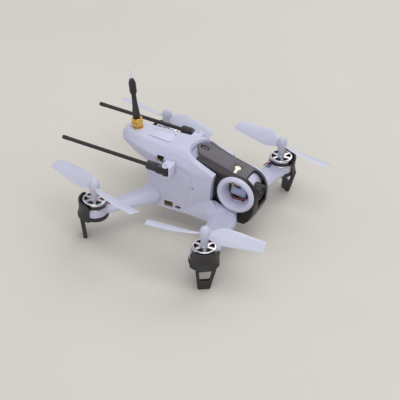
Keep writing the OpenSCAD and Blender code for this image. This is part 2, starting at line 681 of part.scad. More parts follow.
module battery_pack() in_fuselage() {
    color([0.12, 0.14, 0.2]) box([-22.5, -14.8, shelf_z + 1.35], [20.5, 14.8, 45.6]);
    color([0.9, 0.9, 0.9]) box([-23.1, -12, 32], [-22.5, 12, 43]);
}

module battery_lead() in_fuselage() {
    color([0.7, 0.1, 0.1]) translate([-24.2, 4, 36]) rotate([0, 90, 0]) cylinder(r = 1, h = 1.1, $fn = 16);
    color([0.1, 0.1, 0.1]) translate([-24.2, 7, 36]) rotate([0, 90, 0]) cylinder(r = 1, h = 1.1, $fn = 16);
    color([0.85, 0.7, 0.2]) box([-30.2, 1.6, 33.6], [-24.2, 9.4, 38.4]);
}

// Three rows of servo pins behind the window in the right side
module servo_header() in_fuselage() {
    color([0.08, 0.08, 0.08]) box([-10, -inner_w + 0.6, 20], [-3.2, -13.4, 23.15]);
    color([0.85, 0.68, 0.3]) for (x = [-9.1:1.25:-4], z = [20.7, 22.2])
        box([x, -inner_w - 0.9, z - 0.3], [x + 0.6, -inner_w + 0.7, z + 0.3]);
}

module usb_port() color([0.7, 0.7, 0.72]) in_fuselage() difference() {
    box([-1.2, -inner_w - 0.6, 20.4], [3, -12.4, 22.2]);
    box([-0.9, -inner_w - 1, 20.7], [2.7, -13.4, 21.9]);
}

module receiver_pins() in_fuselage() {
    color([0.08, 0.08, 0.08]) box([-15.8, -inner_w + 1.6, 55.1], [-10.4, -13.3, 57.6]);
    color([0.85, 0.68, 0.3]) for (x = [-15.3:1.5:-11], z = [55.8, 57])
        box([x, -inner_w + 0.2, z - 0.3], [x + 0.6, -inner_w + 1.7, z + 0.3]);
}

module frame_screws() color([0.25, 0.25, 0.27]) in_fuselage() {
    for (x = [-16, 16], y = [-11, 11]) translate([x, y, 0]) {
        translate([0, 0, floor_z + 0.05]) cylinder(r1 = 1.9, r2 = 1, h = 0.8);
        translate([0, 0, floor_z + 0.8]) cylinder(r = 0.95, h = 0.35);
    }
    translate([14.2, 0, 0]) {
        translate([0, 0, 63.15]) cylinder(r = 2.4, h = 0.7);
        translate([0, 0, 57]) cylinder(r = 1.05, h = 6.3);
    }
}

// ---- nodes ----

lower_frame();
upper_shell();
top_panel();
front_visor();
visor_window();
for (i = [0:3]) {
    foot(i);
    at_motor(i) stator_base();
    at_motor(i) bell();
    at_motor(i) magnet_ring();
    at_motor(i) motor_shaft();
    propeller(i);
}
stator_windings();
motor_bearings();
motor_screws();
motor_wires();
camera_cradle();
camera_module();
lens_barrel();
lens_glass();
camera_wires();
bracket();  // antenna_bracket_left
mirror([0, 1, 0]) bracket();  // antenna_bracket_right
antenna_pins();
antenna_sleeve();  // antenna_sleeve_left
mirror([0, 1, 0]) antenna_sleeve();  // antenna_sleeve_right
antenna_tube();  // antenna_tube_left
mirror([0, 1, 0]) antenna_tube();  // antenna_tube_right
coax_jack();
video_antenna_nut();
video_antenna_stem();
video_antenna_cap();
video_antenna_wire();
flight_controller();
power_board();
receiver_board();
video_transmitter();
battery_pack();
battery_lead();
servo_header();
usb_port();
receiver_pins();
frame_screws();
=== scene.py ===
"""Looks for the racing drone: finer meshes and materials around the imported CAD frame.

Lengths are in millimetres while a piece is made. ROW and FUSELAGE turn them into metres in the row frame.
FUSELAGE also adds the fuselage's nose-up pitch, so body parts are drawn level, as in the part's source."""

import json
from math import atan2, cos, pi, radians, sin, sqrt, tan

import bmesh
import bpy
from mathutils import Matrix, Vector


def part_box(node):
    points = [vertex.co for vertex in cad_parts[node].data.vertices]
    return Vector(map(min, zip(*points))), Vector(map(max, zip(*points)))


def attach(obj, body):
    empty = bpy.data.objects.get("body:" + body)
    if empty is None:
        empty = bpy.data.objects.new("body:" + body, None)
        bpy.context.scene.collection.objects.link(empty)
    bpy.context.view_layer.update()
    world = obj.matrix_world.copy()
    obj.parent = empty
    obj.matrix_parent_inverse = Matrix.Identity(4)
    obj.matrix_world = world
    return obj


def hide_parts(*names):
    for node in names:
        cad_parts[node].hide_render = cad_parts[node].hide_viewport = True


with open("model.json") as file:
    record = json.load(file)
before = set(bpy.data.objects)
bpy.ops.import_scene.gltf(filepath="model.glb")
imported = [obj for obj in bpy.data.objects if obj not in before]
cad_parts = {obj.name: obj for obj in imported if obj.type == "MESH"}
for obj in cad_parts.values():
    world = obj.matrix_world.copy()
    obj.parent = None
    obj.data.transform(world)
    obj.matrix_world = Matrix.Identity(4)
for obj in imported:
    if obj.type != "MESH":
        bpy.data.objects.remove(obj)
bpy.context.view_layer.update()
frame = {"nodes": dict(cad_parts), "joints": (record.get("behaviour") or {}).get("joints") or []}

MM = 0.001
JOINT = {j["name"]: j for j in frame["joints"]}
QUADS = ("front_right", "front_left", "rear_left", "rear_right")
TURN = 2 * pi


def shift(x, y, z):
    return Matrix.Translation((x, y, z))


def turned(axis, degrees):
    return Matrix.Rotation(radians(degrees), 4, axis)


ROW_FRAME = Matrix.Identity(4)
MIRROR = Matrix.Scale(-1, 4, (0, 1, 0))


def side_matrix(s):
    """The left side as drawn, or the right side as its mirror image."""
    return ROW_FRAME if s > 0 else MIRROR


def polar(radius, angle):
    return radius * cos(angle), radius * sin(angle)


# ---- where things are, read from the frame ----

ROW = Matrix.Scale(MM, 4)
HINGE_UP = Vector(JOINT["antenna_right_swing"]["axis"])
PITCH = atan2(-HINGE_UP.x, HINGE_UP.z)
TILT_AXIS = Vector((44, 0, 42.5))
NOSE_UP = Matrix.Rotation(-PITCH, 4, "Y")
TILT_PLACE = Vector(JOINT["camera_tilt"]["pos_m"])
FUSELAGE = Matrix.Translation(TILT_PLACE - NOSE_UP @ (TILT_AXIS * MM)) @ NOSE_UP @ ROW


def motor_place(quad):
    x, y, _ = JOINT["spin_" + quad]["pos_m"]
    return shift(x, y, 0) @ ROW


BELL_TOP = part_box("magnet_ring_front_right")[1].z / MM + 1.3
BASE_TOP = BELL_TOP - 4.7
CUP_TOP = BASE_TOP - 1
CUP_FLOOR = CUP_TOP - 5.4
FOOT_JOINT = CUP_FLOOR - 2.8
BLADE_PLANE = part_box("motor_shaft_front_right")[1].z / MM - 1.3
BLADE_ANGLE = {"front_right": 11.7, "front_left": -13, "rear_left": -7.8, "rear_right": -18.9}
SENSE = {"front_right": 1, "front_left": -1, "rear_left": 1, "rear_right": -1}
FOOT_ANGLE = {"front_right": -52.7, "front_left": 52.7, "rear_left": 145, "rear_right": 215}

# ---- materials ----


def noise(tree, scale, detail, stretch=(1, 1, 1)):
    coord = tree.nodes.new("ShaderNodeTexCoord")
    mapping = tree.nodes.new("ShaderNodeMapping")
    mapping.inputs["Scale"].default_value = stretch
    tex = tree.nodes.new("ShaderNodeTexNoise")
    tex.inputs["Scale"].default_value = scale
    tex.inputs["Detail"].default_value = detail
    tree.links.new(coord.outputs["Object"], mapping.inputs["Vector"])
    tree.links.new(mapping.outputs["Vector"], tex.inputs["Vector"])
    return tex.outputs["Fac"]


def between(tree, value, low, high, span=(0.35, 0.65)):
    """Maps a span of a value to low and high."""
    ramp = tree.nodes.new("ShaderNodeMapRange")
    for name, number in zip(("From Min", "From Max", "To Min", "To Max"), (*span, low, high)):
        ramp.inputs[name].default_value = number
    tree.links.new(value, ramp.inputs["Value"])
    return ramp.outputs["Result"]


def colour_mix(tree, factor, a, b):
    """Blends from a, a colour or another node's output, to the colour b."""
    mix = tree.nodes.new("ShaderNodeMix")
    mix.data_type = "RGBA"
    if isinstance(a, tuple):
        mix.inputs["A"].default_value = (*a, 1)
    else:
        tree.links.new(a, mix.inputs["A"])
    mix.inputs["B"].default_value = (*b, 1)
    tree.links.new(factor, mix.inputs["Factor"])
    return mix.outputs["Result"]


RELIEF_DEPTH = 0.0002  # metres


def surface(name, colour, rough, vary=0.2, patch=55, grain=1400, bump=0.05, metal=0, coat=0,
            coat_rough=0.1, specular=0.5, cast=(0, 0, 0), stretch=(1, 1, 1), sheen=0):
    """A solid finish: broad patches of tone, a fine grain in the roughness and the bump."""
    mat = bpy.data.materials.new(name)
    mat.use_nodes = True
    tree = mat.node_tree
    bsdf = tree.nodes["Principled BSDF"]
    dark = tuple(c * (1 - vary) for c in colour)
    light = tuple(min(1, c * (1 + vary) + more) for c, more in zip(colour, cast))
    broad = noise(tree, patch, 3)
    fine = noise(tree, grain, 2, stretch)
    relief = tree.nodes.new("ShaderNodeBump")
    relief.inputs["Strength"].default_value = bump
    relief.inputs["Distance"].default_value = RELIEF_DEPTH
    tree.links.new(fine, relief.inputs["Height"])
    made = {"Base Color": colour_mix(tree, between(tree, broad, 0, 1), dark, light),
            "Roughness": between(tree, fine, rough * 0.85, min(1, rough * 1.15)),
            "Normal": relief.outputs["Normal"]}
    for socket, output in made.items():
        tree.links.new(output, bsdf.inputs[socket])
    fixed = {"Metallic": metal, "Coat Weight": coat, "Coat Roughness": coat_rough,
             "Specular IOR Level": specular, "IOR": 1.5, "Sheen Weight": sheen}
    for socket, value in fixed.items():
        bsdf.inputs[socket].default_value = value
    return mat


def painted_top_sheen(mat, colour):
    """Paints the faces that look up a lighter tone: a painted sheen, standing in for the light a glossy top
    reflects.
    """
    tree = mat.node_tree
    base = tree.nodes["Principled BSDF"].inputs["Base Color"]
    split = tree.nodes.new("ShaderNodeSeparateXYZ")
    tree.links.new(tree.nodes.new("ShaderNodeNewGeometry").outputs["Normal"], split.inputs["Vector"])
    # mask of the upward faces that get the painted sheen
    painted_sheen_mask = between(tree, split.outputs["Z"], 0, 1, (0.9, 0.955))
    tree.links.new(colour_mix(tree, painted_sheen_mask, base.links[0].from_socket, colour), base)


WHITE = surface("moulded_white", (0.555, 0.555, 0.685), 0.42, vary=0.025, coat=0.12, coat_rough=0.3)
PANEL = surface("panel_white", (0.60, 0.60, 0.73), 0.38, vary=0.02, coat=0.12, coat_rough=0.3)
BLADE = surface("blade_white", (0.55, 0.56, 0.66), 0.36, vary=0.03, bump=0.04, coat=0.2, coat_rough=0.25)
RING = surface("ring_white", (0.60, 0.60, 0.74), 0.34, vary=0.02, bump=0.04, coat=0.2, coat_rough=0.2)
GAP = surface("panel_gap", (0.16, 0.16, 0.22), 0.7, vary=0.1, bump=0.03)
VISOR = surface("visor_black", (0.015, 0.010, 0.010), 0.30, patch=120, grain=2200, specular=0.4)
# painted sheen: the visor's upward faces get a lighter purple-grey tone for the light they reflect
painted_top_sheen(VISOR, (0.062, 0.052, 0.062))
PALE = surface("pale_window", (0.80, 0.79, 0.60), 0.3, vary=0.05, bump=0.03, coat=0.4)
RUBBER = surface("soft_black", (0.022, 0.018, 0.019), 0.5, vary=0.25, patch=140, grain=2600, bump=0.12,
                 sheen=0.05)
ANTENNA = surface("antenna_black", (0.018, 0.016, 0.015), 0.42, vary=0.25, grain=2200, bump=0.1)
SILVER = surface("turned_aluminium", (0.74, 0.74, 0.76), 0.26, vary=0.05, metal=1, grain=900, bump=0.06,
                 stretch=(1, 1, 14))
DARK_STEEL = surface("black_oxide", (0.07, 0.07, 0.075), 0.36, metal=0.85, bump=0.06)
STEEL = surface("ground_steel", (0.62, 0.62, 0.64), 0.28, vary=0.06, metal=1, stretch=(1, 1, 20))
FLUX = surface("flux_ring", (0.028, 0.027, 0.030), 0.32, metal=0.4, bump=0.04, coat=0.3)
COPPER = surface("enamelled_copper", (0.60, 0.22, 0.075), 0.30, vary=0.3, patch=900, metal=0.7, grain=2600,
                 bump=0.5, coat=0.4, stretch=(1, 1, 6))
IRON = surface("stator_iron", (0.10, 0.10, 0.11), 0.5, vary=0.3, metal=0.6, grain=3000, bump=0.3,
               stretch=(0.3, 0.3, 8))
GOLD = surface("gold_plate", (0.83, 0.55, 0.15), 0.22, vary=0.1, metal=1)
CASE = surface("camera_case", (0.42, 0.48, 0.66), 0.34, vary=0.06, metal=0.3, coat=0.2)
LENS_BLACK = surface("lens_black", (0.012, 0.012, 0.014), 0.35)
BOARD = surface("circuit_board", (0.016, 0.045, 0.030), 0.4, vary=0.5, patch=700, grain=1800, bump=0.2,
                coat=0.4)
WRAP = surface("battery_wrap", (0.03, 0.04, 0.075), 0.3, vary=0.15, patch=90, bump=0.12, coat=0.3)
BROWN = surface("brown_sleeve", (0.16, 0.035, 0.03), 0.4, vary=0.15)
RED = surface("red_sleeve", (0.42, 0.03, 0.028), 0.4, vary=0.15)
YELLOW = surface("yellow_sleeve", (0.80, 0.55, 0.05), 0.4, vary=0.1)
BLACK = surface("black_sleeve", (0.02, 0.02, 0.022), 0.42)
BLUE = surface("blue_sleeve", (0.03, 0.06, 0.30), 0.4, vary=0.15)
WHIP = surface("whip_white", (0.74, 0.75, 0.82), 0.35, vary=0.05, bump=0.03)
HEADER = surface("header_plastic", (0.02, 0.02, 0.02), 0.45, bump=0.1)
GLASS = surface("lens_coating", (0.02, 0.02, 0.06), 0.04, vary=0.5, patch=260, bump=0, coat=1,
                coat_rough=0.02, specular=0.9, cast=(0.03, 0, 0.09))

# ---- mesh helpers ----


def new_object(name, data):
    obj = bpy.data.objects.new(name, data)
    bpy.context.scene.collection.objects.link(obj)
    return obj


def mesh_object(verts, faces):
    mesh = bpy.data.meshes.new("part")
    mesh.from_pydata([tuple(v) for v in verts], [], faces)
    return tidy(new_object("part", mesh))


def tidy(obj, weld=1e-4):
    """Welds doubles and turns every face outward."""
    bm = bmesh.new()
    bm.from_mesh(obj.data)
    bmesh.ops.remove_doubles(bm, verts=bm.verts, dist=weld)
    bmesh.ops.dissolve_degenerate(bm, edges=bm.edges, dist=weld)
    bmesh.ops.recalc_face_normals(bm, faces=bm.faces)
    bm.to_mesh(obj.data)
    bm.free()
    return obj


def bake(obj):
    """Turns the modifiers, or a curve, into plain mesh."""
    graph = bpy.context.evaluated_depsgraph_get()
    graph.update()
    mesh = bpy.data.meshes.new_from_object(obj.evaluated_get(graph))
    if obj.type == "MESH":
        obj.modifiers.clear()
        obj.data = mesh
        return obj
    bpy.data.objects.remove(obj)
    return tidy(new_object("part", mesh))


def combine(obj, other, operation="DIFFERENCE"):
    """Cuts, or keeps, what other covers."""
    mod = obj.modifiers.new("combine", "BOOLEAN")
    mod.operation, mod.solver, mod.object = operation, "EXACT", other
    bake(obj)
    bpy.data.objects.remove(other)
    return tidy(obj)


def round_edges(obj, width, segments=2, angle=32):
    mod = obj.modifiers.new("edge", "BEVEL")
    mod.width, mod.segments, mod.limit_method, mod.angle_limit = width, segments, "ANGLE", radians(angle)
    mod.miter_outer = "MITER_ARC"
    return bake(obj)


def join(objs):
    """Several meshes as one mesh that keeps their materials."""
    bm = bmesh.new()
    mats = []
    for o in objs:
        mats += [m for m in o.data.materials if m not in mats]
        start = len(bm.faces)
        bm.from_mesh(o.data)
        bm.faces.ensure_lookup_table()
        for f in bm.faces[start:]:
            f.material_index = mats.index(o.data.materials[f.material_index]) if o.data.materials else 0
        bpy.data.objects.remove(o)
    mesh = bpy.data.meshes.new("part")
    bm.to_mesh(mesh)
    bm.free()
    for m in mats:
        mesh.materials.append(m)
    return new_object("part", mesh)


def move(obj, matrix):
    obj.data.transform(matrix)
    if matrix.determinant() < 0:
        obj.data.flip_normals()
    return obj


def paint(obj, mat, place=None):
    """Gives a mesh its material, and moves it where a place is given."""
    obj.data.materials.clear()
    obj.data.materials.append(mat)
    return move(obj, place) if place else obj


def piece(made, name, slot, *nodes, mat=None, place=FUSELAGE, body="airframe", smooth=40):
    """Puts a mesh, or a list of them as one, in the row frame, on its body, in place of CAD nodes."""
    obj = join(made) if isinstance(made, list) else made
    if mat:
        paint(obj, mat)
    obj.name = obj.data.name = name
    move(obj, place)
    for p in obj.data.polygons:
        p.use_smooth = True
    obj.data.set_sharp_from_angle(angle=radians(smooth))
    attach(obj, body)
    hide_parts(*nodes)


def loft(rings, caps=True):
    """A skin over rings that have the same number of points."""
    n = len(rings[0])
    verts = [p for ring in rings for p in ring]
    faces = [(i * n + j, i * n + (j + 1) % n, (i + 1) * n + (j + 1) % n, (i + 1) * n + j)
             for i in range(len(rings) - 1) for j in range(n)]
    if caps:
        faces += [tuple(range(n))[::-1], tuple(range((len(rings) - 1) * n, len(rings) * n))]
    return mesh_object(verts, faces)


def lathe(profile, steps=64, closed=False, base=0):
    """Turns a profile of (radius, height above base) about Z."""
    verts = [(*polar(r, TURN * k / steps), base + h) for k in range(steps) for r, h in profile]
    n = len(profile)
    faces = []
    for k in range(steps):
        k2 = (k + 1) % steps
        for j in range(n if closed else n - 1):
            j2 = (j + 1) % n
            faces.append((k * n + j, k2 * n + j, k2 * n + j2, k * n + j2))
    return mesh_object(verts, faces)


def plate(outlines, z_from, z_to, edge=0.3):
    """A flat plate with rounded edges; the outlines after the first are holes."""
    curve = bpy.data.curves.new("plate", "CURVE")
    curve.dimensions, curve.fill_mode = "2D", "BOTH"
    for points in outlines:
        spline = curve.splines.new("POLY")
        spline.points.add(len(points) - 1)
        for target, (x, y) in zip(spline.points, points):
            target.co = (x, y, 0, 1)
        spline.use_cyclic_u = True
    curve.extrude = (z_to - z_from) / 2 - edge
    curve.bevel_depth, curve.bevel_resolution, curve.offset = edge, 2, -edge
    return move(bake(new_object("plate", curve)), shift(0, 0, (z_from + z_to) / 2))


XZ = Matrix(((1, 0, 0, 0), (0, 0, -1, 0), (0, 1, 0, 0), (0, 0, 0, 1)))


def side_plate(outlines, y_from, y_to, edge=0.3):
    """A plate whose outline is drawn in X and Z, between two Y values."""
    low, high = sorted((y_from, y_to))
    return move(plate(outlines, -high, -low, edge), XZ)


def prism(outline, y_from, y_to):
    """A sharp prism on an outline in X and Z, for cutting."""
    return loft([[(x, y, z) for x, z in outline] for y in (y_from, y_to)])


def column(outline, low, high):
    """A sharp prism on an outline in X and Y."""
    return loft([[(x, y, z) for x, y in outline] for z in (low, high)])


def block(corner, opposite, edge=0.3, segments=2):
    """A box with rounded edges."""
    spans = [sorted(pair) for pair in zip(corner, opposite)]
    verts = [(x, y, z) for x in spans[0] for y in spans[1] for z in spans[2]]
    faces = [(0, 1, 3, 2), (4, 6, 7, 5), (0, 4, 5, 1), (2, 3, 7, 6), (0, 2, 6, 4), (1, 5, 7, 3)]
    obj = mesh_object(verts, faces)
    return round_edges(obj, edge, segments) if edge else obj


def tube(points, radius, sides=14):
    """A round tube along points; radius is one value or one for each point."""
    points = [Vector(p) for p in points]
    radii = radius if isinstance(radius, list) else [radius] * len(points)
    last = len(points) - 1
    tangents = [(points[min(i + 1, last)] - points[max(i - 1, 0)]).normalized() for i in range(last + 1)]
    side = tangents[0].orthogonal().normalized()
    angles = [TURN * k / sides for k in range(sides)]
    rings = []
    for p, t, r in zip(points, tangents, radii):
        side = (side - t * side.dot(t)).normalized()
        up = t.cross(side)
        rings.append([p + (side * cos(a) + up * sin(a)) * r for a in angles])
    return loft(rings)


def smooth_path(points):
    """A Catmull-Rom curve through points, with six steps from each to the next."""
    pts = [Vector(p) for p in points]
    pts = [pts[0] * 2 - pts[1]] + pts + [pts[-1] * 2 - pts[-2]]
    out = []
    for i in range(1, len(pts) - 2):
        a, b, c, d = pts[i - 1:i + 3]
        for t in (k / 6 for k in range(6)):
            curve = (2 * a - 5 * b + 4 * c - d) * t * t + (3 * b - a - 3 * c + d) * t ** 3
            out.append(0.5 * (2 * b + (c - a) * t + curve))
    return out + [pts[-2]]


def arc(cx, cy, r, from_deg, to_deg, n):
    angles = [radians(a) for a in spread(from_deg, to_deg, n)]
    return [(cx + r * cos(a), cy + r * sin(a)) for a in angles]


def rounded(corners, radius, steps=4):
    """A closed polygon of 3-D points with its corners rounded; radius is one value or one for each corner."""
    pts = [Vector(p) for p in corners]
    radii = radius if isinstance(radius, list) else [radius] * len(pts)
    out = []
    for i, p in enumerate(pts):
        a, b = pts[i - 1] - p, pts[(i + 1) % len(pts)] - p
        r = radii[i]
        half = a.angle(b) / 2
        reach = min(r / max(tan(half), 1e-3), a.length * 0.48, b.length * 0.48)
        if r <= 0 or reach < 1e-4:
            out += [p.copy() for _ in range(steps + 1)]
            continue
        start, end = p + a.normalized() * reach, p + b.normalized() * reach
        for k in range(steps + 1):
            t = k / steps
            out.append(start * (1 - t) ** 2 + p * 2 * t * (1 - t) + end * t * t)
    return out


def rounded_2d(corners, radius, steps=4):
    return [(p.x, p.y) for p in rounded([(x, y, 0) for x, y in corners], radius, steps)]


def eased(stations, x):
    """Rows of values that start with a position, blended smoothly (monotone cubic) at position x."""
    if x <= stations[0][0]:
        return list(stations[0][1:])
    if x >= stations[-1][0]:
        return list(stations[-1][1:])
    i = max(k for k in range(len(stations) - 1) if stations[k][0] <= x)
    out = []
    for c in range(1, len(stations[0])):
        def slope(k):
            if k < 0 or k >= len(stations) - 1:
                return None
            return (stations[k + 1][c] - stations[k][c]) / (stations[k + 1][0] - stations[k][0])

        def tangent(k):
            a, b = slope(k - 1), slope(k)
            if a is None or b is None:
                return a if b is None else b
            return 0 if a * b <= 0 else 2 * a * b / (a + b)
        h = stations[i + 1][0] - stations[i][0]
        t = (x - stations[i][0]) / h
        y0, y1, m0, m1 = stations[i][c], stations[i + 1][c], tangent(i), tangent(i + 1)
        out.append((2 * t ** 3 - 3 * t * t + 1) * y0 + (t ** 3 - 2 * t * t + t) * h * m0
                   + (3 * t * t - 2 * t ** 3) * y1 + (t ** 3 - t * t) * h * m1)
    return out


def spread(a, b, n):
    return [a + (b - a) * i / n for i in range(n + 1)]


# ---- propellers ----

BLADE_R = 41.2
BLADE_SIDE_POINTS = 9
TIP = 1.5
# Radius, chord, pitch in degrees, how far the middle of the chord runs ahead of the radius, thickness
BLADE_STATIONS = [(2.2, 5.4, 33, 0.2, 2), (5, 7.2, 33, 0.5, 1.7), (9, 11.4, 31, 0.9, 1.4),
                  (14, 13.2, 28, 1, 1.2), (20, 12.9, 24, 0.7, 1.05), (27, 11.9, 20, 0.2, 0.95),
                  (34, 10.6, 17, -0.4, 0.85), (41.2, 9.4, 14, -1, 0.7)]


def blade_ring(r, chord, pitch, ahead, thick):
    """An airfoil section of an anticlockwise blade: its front edge, at +Y, is the higher one."""
    out = []
    n = BLADE_SIDE_POINTS
    for k in range(2 * n):
        u = k / n if k <= n else 2 - k / n
        camber = 0.055 * chord * 4 * u * (1 - u)
        half = thick * 0.5 * (1.9 * sqrt(max(u, 0)) * (1 - u) ** 0.7 + 0.16)
        y = chord * (0.5 - u)
        z = camber + (half if k <= n else -half * 0.7)
        a = radians(pitch)
        out.append((r, ahead + y * cos(a) - z * sin(a), y * sin(a) + z * cos(a)))
    return out


def make_blade():
    root = BLADE_STATIONS[0][0]
    rings = [blade_ring(r, *eased(BLADE_STATIONS, r)) for r in spread(root, BLADE_R - TIP, 20)]
    for step in (0.55, 0.85, 1):  # rounded tip corners, raked back
        r = BLADE_R - TIP + TIP * step
        chord, pitch, ahead, thick = eased(BLADE_STATIONS, r)
        cut = 1 - 0.16 * step ** 3
        rings.append(blade_ring(r, chord * cut, pitch, ahead - 0.3 * step, thick * (1 - 0.45 * step ** 2)))
    return loft(rings)


def make_propeller(quad):
    z = BLADE_PLANE
    blades = [make_blade(), make_blade()]
    for blade, angle in zip(blades, (0, 180)):
        if SENSE[quad] < 0:
            move(blade, MIRROR)
        move(blade, shift(0, 0, z))
        move(blade, turned("Z", angle))
    angles = [radians(a) for a in range(12, 84, 12)]
    dome = [(3.68 * cos(a), z + 2.4 + 4.3 * sin(a)) for a in angles]
    hub = lathe([(0, BELL_TOP + 0.65), (2.4, BELL_TOP + 0.65), (2.6, BELL_TOP + 1), (2.65, z - 5.4),
                 (3, z - 3.4), (3.5, z - 1.2), (3.7, z + 1.2), (3.68, z + 2.4), *dome, (0, z + 6.7)])
    prop = paint(join([*blades, hub]), BLADE)
    place = motor_place(quad) @ turned("Z", BLADE_ANGLE[quad])
    piece(prop, "propeller_blades_" + quad, "blade_white", "propeller_" + quad, place=place,
          body="rotor_" + quad, smooth=50)


# ---- motors ----

WINDOW_COUNT = 6
TEETH = 9


def circle(r, n):
    return [polar(r, TURN * k / n) for k in range(n)]


def fan_window(a0, a1, r0, r1):
    """A window between two radii, narrower at the hub, with round corners."""
    mid = (a0 + a1) / 2
    outer = [polar(r1, a) for a in spread(a0, a1, 8)]
    inner = [polar(r0, a) for a in (mid + 0.14, mid - 0.14)]
    return rounded_2d(outer + inner, [0.8, 0, 0, 0, 0, 0, 0, 0, 0.8, 0.6, 0.6], 3)


def make_bell(quad):
    z = BELL_TOP
    step = TURN / WINDOW_COUNT
    holes = [fan_window(step * k + 0.13, step * (k + 1) - 0.13, 3.3, 7.15) for k in range(WINDOW_COUNT)]
    rim = [(7.55, -1.2), (7.55, -0.1), (7.7, 0.02), (8.05, -0.02), (8.4, -0.3), (8.5, -0.55), (8.5, -1.5),
           (8.42, -1.62), (8.42, -1.8), (7.6, -1.8)]
    skirt = [(8, -1.3), (8.42, -1.75), (8.5, -1.85), (8.5, -4.1), (8.42, -4.3), (8.02, -4.3)]
    collar = [(0, -0.2), (2.5, -0.2), (2.5, 0.35), (2.3, 0.58), (0, 0.58)]
    parts = [paint(plate([circle(7.75, 60)] + [h[::-1] for h in holes], z - 1.25, z, 0.16), SILVER),
             paint(lathe(rim, 72, True, z), SILVER), paint(lathe(skirt, 72, True, z), FLUX),
             paint(lathe(collar, 32, False, z), SILVER)]
    piece(parts, "motor_bell_" + quad, "bell_silver", "bell_" + quad, place=motor_place(quad),
          body="rotor_" + quad, smooth=35)


def wire_turn(r, half_width, half_height, z):
    """One turn of wire round a tooth, at a distance from the motor's axis."""
    corners = [(r, w, z + h) for w, h in ((-half_width, -half_height), (half_width, -half_height),
                                          (half_width, half_height), (-half_width, half_height))]
    loop = rounded(corners, 0.35, 3)
    rings = []
    for p in loop + loop[:1]:
        out = (p - Vector((r, 0, z))).normalized()
        rings.append([p + Vector((0.25 * cos(b), 0, 0)) + out * 0.25 * sin(b)
                      for b in (TURN * j / 7 for j in range(7))])
    return loft(rings, caps=False)


def make_windings():
    parts = []
    z = BASE_TOP + 1.6
    core = [(3.2, -1.1), (4.6, -1.1), (4.6, 1.1), (3.2, 1.1)]
    shoe = [(6.9, z - 0.9), (7.35, z - 0.9), (7.35, z + 0.9), (6.9, z + 0.9)]
    for quad in QUADS:
        parts.append(paint(lathe(core, 32, True, z), IRON, motor_place(quad)))
        for k in range(TEETH):
            place = motor_place(quad) @ Matrix.Rotation(TURN * k / TEETH, 4, "Z")
            tip = loft([[(*polar(r, a), h) for r, h in shoe] for a in spread(-0.27, 0.27, 6)])
            parts.append(paint(tip, IRON, place))
            for layer in range(5):
                turn = wire_turn(4.9 + 0.44 * layer, 0.85 + 0.09 * layer, 0.85, z)
                parts.append(paint(turn, COPPER, place))
    piece(parts, "motor_windings", "winding_copper", "stator_windings", place=ROW_FRAME, smooth=60)


def make_stator_base(quad):
    flange = [(2, -2.3), (2.5, -2.3), (2.5, 0.02), (8.3, 0.02), (8.8, 0.2), (8.8, 0.75), (8.55, 1),
              (5.4, 1), (5.2, 0.7), (3.3, 0.7), (3.2, 1), (3.2, 3.9), (2.9, 4), (2, 4)]
    screw = [(0, 1), (0.45, 1), (0.5, 1.12), (0.9, 1.12), (0.95, 0.9)]
    parts = [paint(lathe(flange, 64, True, CUP_TOP), SILVER)]
    for a in (45, 135, 225, 315):
        parts.append(paint(lathe(screw, 16, False, CUP_TOP), DARK_STEEL, turned("Z", a) @ shift(6.5, 0, 0)))
    piece(parts, "stator_flange_" + quad, "stator_silver", "stator_base_" + quad, place=motor_place(quad),
          smooth=35)


def make_motor_leads():
    parts = []
    for quad in QUADS:
        x, y, _ = JOINT["spin_" + quad]["pos_m"]
        inward = motor_place(quad) @ Matrix.Rotation(atan2(-y, -x), 4, "Z")
        for k, mat in zip((-1, 0, 1), (RED, BLACK, BLUE)):
            path = smooth_path([(7.9, 0.9 * k, BASE_TOP - 0.3), (9, 1.2 * k, BASE_TOP - 0.35),
                                (10.4, 1.9 * k, CUP_TOP + 0.35), (12, 2.4 * k, CUP_TOP - 0.3),
                                (12.8, 2.5 * k, CUP_TOP - 1.4)])
            parts.append(paint(tube(path, 0.45, 10), mat, inward))
    piece(parts, "motor_leads", "wire_colour", "motor_wires", place=ROW_FRAME)


# ---- feet ----

GUARD_HALF = radians(66)
# Stands a flat plate on edge, across X
STAND = Matrix(((0, 0, 1, 0), (1, 0, 0, 0), (0, 1, 0, 0), (0, 0, 0, 1)))


def make_guard():
    """The half-round wall behind the motor, lower at its ends, with a thicker belt at its foot."""
    z = FOOT_JOINT
    rings = []
    for t in spread(-1, 1, 40):
        top = BELL_TOP - 0.1 - 2.6 * max(0, abs(t) - 0.72) ** 2 / 0.28 ** 2
        flare = 0.35 * (1 - min(1, max(0, (abs(t) - 0.9) / 0.1)))
        profile = [(10, z + 0.1), (11 + flare * 0.3, z), (11.4 + flare, z + 0.5),
                   (11.4 + flare, z + 2.6), (11.2, z + 3.2), (11.1, z + 6), (11.15, top - 2),
                   (11.4, top - 1.5), (11.4, top - 0.4), (11.1, top), (10.4, top), (10.1, top - 0.4),
                   (10, z + 3)]
        rings.append([(*polar(r, GUARD_HALF * t), h) for r, h in profile])
    return loft(rings)


def make_leg():
    """A leaning open trapezoid whose sole is cut level."""
    top, low, bar = 7.3, 4.3, 2.1
    end = -FOOT_JOINT - 1.2
    outline = [(-top, 0.6), (top, 0.6), (low, end), (-low, end)]
    hole = [(bar - top + 0.5, -1.7), (top - bar - 0.5, -1.7), (low - bar + 1.15, 7.2 - FOOT_JOINT),
            (bar - low - 1.15, 7.2 - FOOT_JOINT)]
    leg = plate([rounded_2d(outline, [1.2, 1.2, 1.4, 1.4]), rounded_2d(hole, 0.9)[::-1]], 0, 2.7, 0.55)
    move(leg, shift(7.85, 0, FOOT_JOINT + 1) @ turned("Y", 8.5) @ STAND)
    return combine(leg, block((-20, -20, 0), (20, 20, 40), 0), "INTERSECT")


